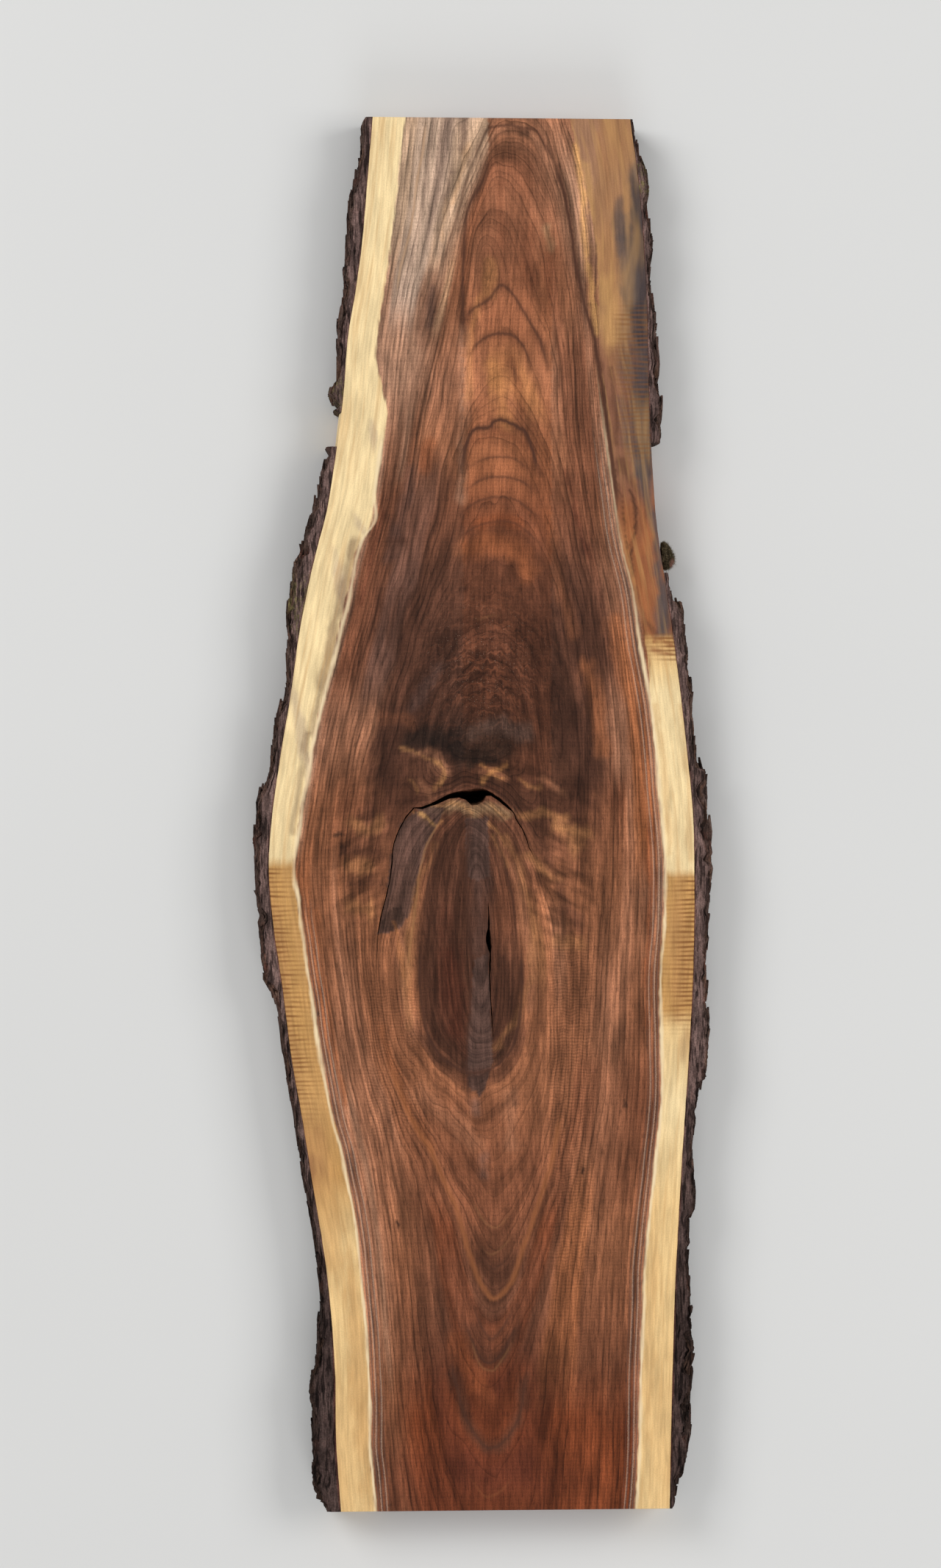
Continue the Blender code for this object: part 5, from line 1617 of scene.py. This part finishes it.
def bark_sections(side, outline, step):
    """The strip's skin as a grid of stations along it and points round it, with its colours' guides."""
    knots = np.array(outline, float)
    rows = np.linspace(knots[0, 0], knots[-1, 0], round((knots[-1, 0] - knots[0, 0]) / step) + 1)
    flat, y = rows * 0, y_of(rows)
    fray = OUTLINE_FRAY * rough(rows / OUTLINE_FRAY_LENGTH, flat, 71, 3)
    reach = np.abs(x_of(np.interp(rows, knots[:, 0], knots[:, 1]) + fray))
    edge = np.abs(edge_x(side, rows, THICKNESS))
    thickness = np.maximum(reach - edge - BARK_GAP, BARK_THINNEST)
    top, bottom = THICKNESS - BARK_SINK, BARK_FLOOR
    z_out = np.linspace(top - OUTSIDE_TOP, bottom, OUTER_STEPS)
    edges = [np.abs(edge_x(side, rows, h)) for h in np.linspace(THICKNESS, 0, EDGE_LEVELS)]
    edges = np.stack(edges, -1)
    points, guide = [], []

    def wood_at(z):
        """The bark's inner side at each station, at one height for each station or for all."""
        level = np.clip((THICKNESS - (z + flat)) / THICKNESS * (EDGE_LEVELS - 1), 0, EDGE_LEVELS - 1.001)
        n = level.astype(int)
        line = np.arange(len(rows))
        return edges[line, n] + (level - n) * (edges[line, n + 1] - edges[line, n]) + BARK_GAP

    def add(x, z, share, ridge, sawn):
        """One line of points along the strip, with what guides its colours."""
        points.append(np.stack([side * x, y, z + flat], -1))
        guide.append(np.stack([share + flat, ridge + flat, sawn + flat], -1))

    share_out, ridge = bark_relief(side, y[:, None], z_out[None, :], thickness[:, None])
    for k in range(TOP_STEPS):
        share = k / TOP_STEPS
        crack = rough(rows / 26.0, flat + share * 5.5 + side, 72, 2)
        groove = smooth(0.25, 0.55, crack) * smooth(0.15, 0.4, share) * GROOVE
        pit = PIT * rough(rows / 4.0, flat + share * 12, 73)
        droop = DROOP * smooth(0.72, 1.0, share) * (1 + rough(rows / 6.0, flat, 74))
        down = groove + np.abs(pit) + droop * np.minimum(thickness / THICK_BARK, 1)
        x = edge + BARK_GAP + thickness * share_out[:, 0] * share
        add(x, top - np.minimum(down, 0.4 * thickness), share, 1 - groove / GROOVE, 1)
    for k, z in enumerate(z_out):
        z = z + OUTSIDE_WAVE * rough(rows / 7.0, flat + k * 0.6, 75)
        x = wood_at(z) + thickness * share_out[:, k]
        add(x, np.clip(z, bottom, top - OUTSIDE_CLEAR), 1, ridge[:, k], 0)
    # The underside and the side against the wood get low ridge values, which paint them darker: painted shade
    # under the strip and between it and the wood
    for k in range(1, UNDER_STEPS + 1):
        share = 1 - k / UNDER_STEPS
        add(wood_at(bottom) + thickness * share_out[:, -1] * share, bottom, share, 0.5, 1)
    for z in np.linspace(bottom, top, INNER_STEPS + 2)[1:-1]:
        add(wood_at(z), z, 0, 0.3, 0)
    return np.stack(points, 1), np.stack(guide, 1)


def bark_flakes(side, grid, seed):
    """Thin loose plates lying on the bark's outside: their points, faces and guides."""
    draw = np.random.default_rng(seed)
    stations = len(grid)
    step = abs(grid[1, 0, 1] - grid[0, 0, 1])
    vertices, faces, guide = [], [], []
    turn = np.linspace(0, 2 * math.pi, FLAKE_CORNERS, endpoint=False)
    for _ in range(int(stations * step / MM * FLAKES_PER_MM)):
        length, width = draw.uniform(*FLAKE_LENGTH), draw.uniform(*FLAKE_WIDTH)
        margin = int(length / step) + 2
        if stations <= 2 * margin + 1:
            continue
        at = draw.integers(margin, stations - margin)
        ring = draw.integers(TOP_STEPS + 1, TOP_STEPS + OUTER_STEPS - 4)
        base = grid[at, ring]
        swing = draw.normal(0, FLAKE_SWING)
        size = 1 + draw.uniform(-FLAKE_RAGGED, FLAKE_RAGGED, FLAKE_CORNERS)
        along, up = np.cos(turn) * size * length / 2, np.sin(turn) * size * width / 2
        y = base[1] + along * math.cos(swing) - up * math.sin(swing)
        z = base[2] + along * math.sin(swing) + up * math.cos(swing)
        z = z - max(0, z.max() - (THICKNESS - FLAKE_TOP))
        z = z + max(0, BARK_FLOOR + FLAKE_FOOT - z.min())
        row = np.clip(((grid[0, 0, 1] - y) / step).round().astype(int), 0, stations - 1)
        level = ((THICKNESS - z) / THICKNESS * OUTER_STEPS).round().astype(int)
        level = np.clip(level, 0, OUTER_STEPS - 1)
        under = np.abs(grid[row, TOP_STEPS + level, 0])
        lift = draw.uniform(*FLAKE_LIFT) * (0.5 + along / length)
        under = 0.5 * under + 0.5 * np.abs(base[0]) + lift
        for n, thick in enumerate((-FLAKE_SUNK, draw.uniform(*FLAKE_THICKNESS) * MM)):
            vertices += np.stack([side * (under + thick), y, z], -1).tolist()
            # The flake's outer face is painted greyer than its inner face, a painted highlight
            guide += [(1.0, 0.75 + 0.25 * n, 0.0)] * FLAKE_CORNERS
        start = len(vertices) - 2 * FLAKE_CORNERS
        low = list(range(start, start + FLAKE_CORNERS))
        high = [k + FLAKE_CORNERS for k in low]
        sides = [(low[k - 1], low[k], high[k], high[k - 1]) for k in range(FLAKE_CORNERS)]
        made = [tuple(low[::-1]), tuple(high), *sides]
        faces += made if side < 0 else [face[::-1] for face in made]
    return np.array(vertices), faces, np.array(guide)


def paint_bark(places, guide):
    """The bark's colour, with painted highlights on the ridges and painted shade in the furrows, grooves and
    underside: share outwards, height of the ridge, and whether it is a sawn face.
    """
    share, ridge, sawn = guide.T
    rows, columns = row_of(places[:, 1]), column_of(places[:, 0])
    colour = np.tile(linear("bark"), (len(places), 1))

    def lay(name, amount):
        nonlocal colour
        amount = np.clip(amount, 0, 1)[:, None]
        colour = colour * (1 - amount) + linear(name) * amount

    long_noise = rough(rows / 30, places[:, 2] / (3 * MM) + share * 6, 81)
    fine_noise = rough(rows / 6, places[:, 2] / (1.2 * MM) + share * 14, 82)
    lay("bark_brown", smooth(0.0, 0.6, long_noise) * 0.7)
    # Grey on the ridges' tops and near black in the furrows and the sawn face's grooves: partly the bark's
    # own colour, partly painted highlight and painted shade
    lay("bark_grey", smooth(0.1, 0.7, fine_noise) * smooth(0.5, 0.95, ridge) * 0.55)
    lay("bark_red", smooth(0.25, 0.7, rough(rows / 18, share * 4 + places[:, 2] / (4 * MM), 83)) * 0.5)
    lay("bark_deep", (1 - smooth(0.15, 0.6, ridge)) * 0.85)
    lay("bark_face", sawn * smooth(0.0, 0.2, 1 - share) * 0.75 * (1 + 0.4 * long_noise))
    lay("bark_deep", smooth(*DARK_BARK_ROWS, rows) * 0.62)
    lay("cambium", sawn * (1 - smooth(0.02, 0.13, share)) * 0.55)
    on_left = columns < KNOT_COLUMN
    lichen = sum(window(rows, rise, fall) * (on_left == is_left) for rise, fall, is_left in LICHEN)
    lay("lichen", lichen * smooth(0.0, 0.5, fine_noise) * 0.7)
    return colour


# The bark's noises: lumps to a metre across and along, detail, roughness
BARK_NOISES = ((900.0, 110.0, 3.0, 0.5), (330.0, 42.0, 2.0, 0.6), (120.0, 45.0, 2.0, 0.5))
# Crumbs' size, the cracks' span, and how far the cracks are darkened as painted shade
CRUMB_SCALE, CRACK_SPAN, CRACK_DARK = 800.0, (0.47, 0.38), 0.72


def bark_material():
    n = Nodes("walnut_bark_look")
    x, y, z = n.apart(n.position())

    def stretched(across, along, detail, roughness):
        place = n.place(n.times(x, across), n.times(y, along), n.times(z, across))
        return n.noise(place, 1.0, detail, roughness)

    fibres, cracks, patches = (stretched(*given) for given in BARK_NOISES)
    crumbs = n.noise(n.position(), CRUMB_SCALE, 2.0, 0.65)
    open_crack = n.ramp(cracks, *CRACK_SPAN)
    tones = n.ramp(crumbs, 0.3, 0.75, 0.7, 1.3), n.ramp(patches, 0.35, 0.65, 0.72, 1.3)
    tone = n.times(n.ramp(fibres, 0.3, 0.7, 0.6, 1.4), *tones)
    # Painted shade: the fine cracks are darkened as well as sunk by the bump
    tone = n.times(tone, n.math("SUBTRACT", 1.0, n.times(open_crack, CRACK_DARK)))
    height = n.math("ADD", n.times(fibres, 0.6), n.times(crumbs, 0.5))
    height = n.math("SUBTRACT", height, open_crack)
    n.shader.inputs["Specular IOR Level"].default_value = 0.08
    return n.finish(n.scaled(tone, n.attribute("paint", "Color")), 0.9, height, bump=0.7, reach=0.0009)


def add_attribute(mesh, name, values):
    """One number, or one colour, at each of a mesh's points."""
    if values.ndim == 1:
        mesh.attributes.new(name, "FLOAT", "POINT").data.foreach_set("value", values)
    else:
        rgba = np.column_stack([values, np.ones(len(values))])
        mesh.attributes.new(name, "FLOAT_COLOR", "POINT").data.foreach_set("color", rgba.ravel())


def add_mesh(name, vertices, faces, colour, material):
    mesh = bpy.data.meshes.new(name)
    mesh.from_pydata(vertices.tolist(), [], faces)
    add_attribute(mesh, "paint", colour)
    mesh.materials.append(material)
    made = bpy.data.objects.new(name, mesh)
    bpy.context.scene.collection.objects.link(made)
    return made


def build_bark():
    material = bark_material()
    for node, (side, outline, step) in BARK_STRIPS.items():
        grid, guide = bark_sections(side, outline, step)
        stations, around = grid.shape[:2]
        number = np.arange(stations * around).reshape(stations, around)
        after = np.roll(number, -1, axis=1)
        quads = np.stack([number[:-1], after[:-1], after[1:], number[1:]], -1).reshape(-1, 4)
        if side < 0:
            quads = quads[:, ::-1]
        faces = quads.tolist()
        caps = [number[0].tolist(), number[-1][::-1].tolist()]
        faces += [cap if side > 0 else cap[::-1] for cap in caps]
        places, guide = grid.reshape(-1, 3), guide.reshape(-1, 3)
        flakes, flake_faces, flake_guide = bark_flakes(side, grid, len(places))
        faces += [tuple(k + len(places) for k in face) for face in flake_faces]
        places, guide = np.concatenate([places, flakes]), np.concatenate([guide, flake_guide])
        colour = paint_bark(places, guide)
        bark = add_mesh(node + "_skin", places, faces, colour, material)
        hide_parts(node)
        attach(bark, "root")


# Moss

TUFT_AT = (756, 908)
TUFT_HEIGHT = 27 * MM
TUFT_REACH = np.array((10.5, 13.5, 11.5)) * MM
CORE_SHARE, CORE_LUMPS, CORE_LUMP_SIZE = 0.8, 0.22, 2.6
CORE_DETAIL = 5
# The tuft's outline: how round it is, how far it is drawn out, and how much is cut from its outer corner
TUFT_ROUND, TUFT_DRAWN, TUFT_CUT = 0.85, 0.25, 0.4
BLADES = 7000
STRAWS = 60
# Blades and straws: where they start, their length and half width in millimetres, and their paleness
BLADE_ROOTS, BLADE_BEND, BLADE_LEAN = (0.55, 0.85), 0.6, (0.25, -0.15, 0)
BLADE_LENGTH, BLADE_WIDTH, BLADE_SHADE = (0.8, 2.4), (0.1, 0.3), (0, 0.7)
STRAW_LENGTH, STRAW_WIDTH, STRAW_SHADE = (2.5, 4.5), 0.12, (0.6, 1.2)
# The pink patch of bast: its centre and its half height and half width, in pixels
BAST_AT, BAST_SIZE = (765, 918), (9, 5)


def moss_material():
    n = Nodes("dry_moss_look")
    paint = n.attribute("paint", "Color")
    crumbs = n.noise(n.position(), 900.0, 3.0)
    n.shader.inputs["Specular IOR Level"].default_value = 0.1
    return n.finish(n.scaled(n.ramp(crumbs, 0.3, 0.7, 0.55, 1.4), paint), 0.95, crumbs, bump=0.4)


def tuft_form(out):
    """The tuft's outline in each direction: a wedge, drawn out towards the head of the board."""
    drawn, cut = np.maximum(out[..., 1], 0) ** 2, np.maximum(out[..., 1] * out[..., 0], 0)
    return TUFT_ROUND + TUFT_DRAWN * drawn - TUFT_CUT * cut


def moss_core(centre, wood):
    """The tuft's dense middle, lumpy all over: its points, faces and how pale each point is."""
    bpy.ops.mesh.primitive_ico_sphere_add(subdivisions=CORE_DETAIL, radius=1)
    ball = bpy.context.object
    out = np.array([v.co[:] for v in ball.data.vertices])
    faces = [tuple(f.vertices) for f in ball.data.polygons]
    bpy.data.objects.remove(ball)
    lumps = np.array([noise.fractal(Vector(v * CORE_LUMP_SIZE), 1.0, 2.0, 4) for v in out])
    size = CORE_SHARE * (1 + CORE_LUMPS * lumps) * tuft_form(out)
    places = centre + out * TUFT_REACH * size[:, None]
    places[:, 0] = np.maximum(places[:, 0], wood)
    # The core is paler on its bulges and darker in its hollows: painted shade
    return places, faces, np.clip(0.15 + 0.4 * lumps, 0, 1)


def build_moss():
    """A lumpy core with many short, tapering blades, a few straws and a pink patch of bast."""
    draw = np.random.default_rng(8)
    centre = np.array([x_of(TUFT_AT[1]), y_of(TUFT_AT[0]), TUFT_HEIGHT])
    wood = float(edge_x(1, np.array([TUFT_AT[0] + 0.0]), TUFT_HEIGHT)[0]) + BARK_GAP
    core, faces, pale = moss_core(centre, wood)
    vertices, shades = core.tolist(), pale.tolist()
    for n in range(BLADES + STRAWS):
        straw = n >= BLADES
        out = draw.normal(size=3)
        out /= np.linalg.norm(out)
        root = centre + out * TUFT_REACH * draw.uniform(*BLADE_ROOTS) * tuft_form(out)
        bend = draw.normal(size=3) * BLADE_BEND + np.array(BLADE_LEAN)
        length = draw.uniform(*(STRAW_LENGTH if straw else BLADE_LENGTH)) * MM
        across = np.cross(out, draw.normal(size=3))
        across *= (STRAW_WIDTH if straw else draw.uniform(*BLADE_WIDTH)) * MM / np.linalg.norm(across)
        shade = draw.uniform(*(STRAW_SHADE if straw else BLADE_SHADE))
        start = len(vertices)
        for t in (0.0, 0.5, 1.0):
            spot = root + (out * t + bend * t * t * 0.6) * length
            width = across * (1 - t * 0.85)
            for corner in (spot - width, spot + width):
                corner[0] = max(corner[0], wood)
                vertices.append(corner.tolist())
                shades.append(min(shade * 0.6 + t * 0.35, 1))
        faces += [(start, start + 1, start + 3, start + 2), (start + 2, start + 3, start + 5, start + 4)]
    shades = np.array(shades)[:, None]
    vertices = np.array(vertices)
    colour = linear("moss_dark") * (1 - shades) + linear("moss_pale") * shades
    down = (row_of(vertices[:, 1]) - BAST_AT[0]) / BAST_SIZE[0]
    pink = np.hypot(down, (column_of(vertices[:, 0]) - BAST_AT[1]) / BAST_SIZE[1])
    pink = (1 - smooth(0.6, 1.1, pink + 0.3 * shades[:, 0]))[:, None] * (vertices[:, 2:] > TUFT_HEIGHT)
    colour = colour * (1 - pink) + linear("tuft_pink") * pink
    moss = add_mesh("moss_blades", vertices, faces, colour, moss_material())
    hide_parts("moss_tuft")
    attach(moss, "root")


# The floor, the light and the camera

FLOOR_SIZE, FLOOR_COLOUR = 40.0, (0.72, 0.72, 0.71)
SKY_STRENGTH = 0.35
# Lights: (name, place, size in metres, power in watts)
LIGHTS = (
    ("key", (-2.2, 1.6, 2.6), 1.8, 60), ("fill", (2.4, 0.6, 2.4), 1.8, 42),
    ("low", (0.2, -2.8, 2.2), 1.8, 32),
)
LENS, FILM_HEIGHT = 55.0, 22.3
SIDE_LOOK = math.radians(3)


def build_stage():
    bpy.ops.mesh.primitive_plane_add(size=FLOOR_SIZE)
    floor = bpy.context.object
    floor.name = "floor"
    n = Nodes("pale_floor")
    drift = n.noise(n.position(), 1.5, 3.0)
    colour = n.scaled(n.ramp(drift, 0.2, 0.8, 0.97, 1.0), FLOOR_COLOUR)
    floor.data.materials.append(n.finish(colour, 0.8))
    floor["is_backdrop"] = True


def add_light(name, place, size, power):
    """A square light that points at the middle of the board."""
    light = bpy.data.lights.new(name, "AREA")
    light.size = size
    light.energy = power
    made = bpy.data.objects.new(name, light)
    made.location = place
    made.rotation_euler = (-Vector(place)).to_track_quat("-Z", "Y").to_euler()
    bpy.context.scene.collection.objects.link(made)


def build_light():
    scene = bpy.context.scene
    scene.view_settings.view_transform = "Standard"
    world = bpy.data.worlds.new("studio")
    world.use_nodes = True
    background = world.node_tree.nodes["Background"]
    background.inputs["Color"].default_value = (1, 1, 1, 1)
    background.inputs["Strength"].default_value = SKY_STRENGTH
    scene.world = world
    for light in LIGHTS:
        add_light(*light)


def build_camera():
    focal = LENS / FILM_HEIGHT * IMAGE_HEIGHT
    distance = focal * PIXEL
    data = bpy.data.cameras.new("camera")
    data.lens = LENS
    data.sensor_fit = "VERTICAL"
    data.sensor_height = FILM_HEIGHT
    camera = bpy.data.objects.new("camera", data)
    target = Vector((x_of(IMAGE_CENTRE[1]), y_of(IMAGE_CENTRE[0]), THICKNESS))
    away = Vector((-math.sin(SIDE_LOOK), 0, math.cos(SIDE_LOOK)))
    camera.location = target + away * distance
    camera.rotation_euler = (0, -SIDE_LOOK, 0)
    bpy.context.scene.collection.objects.link(camera)
    bpy.context.scene.camera = camera


build_camera()
build_light()
build_stage()
build_slab()
build_bark()
build_moss()

sizes = {"cad": CAD_BOX, "visual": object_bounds()}
{k: [list(map(float, v)) for v in box] for k, box in sizes.items()}
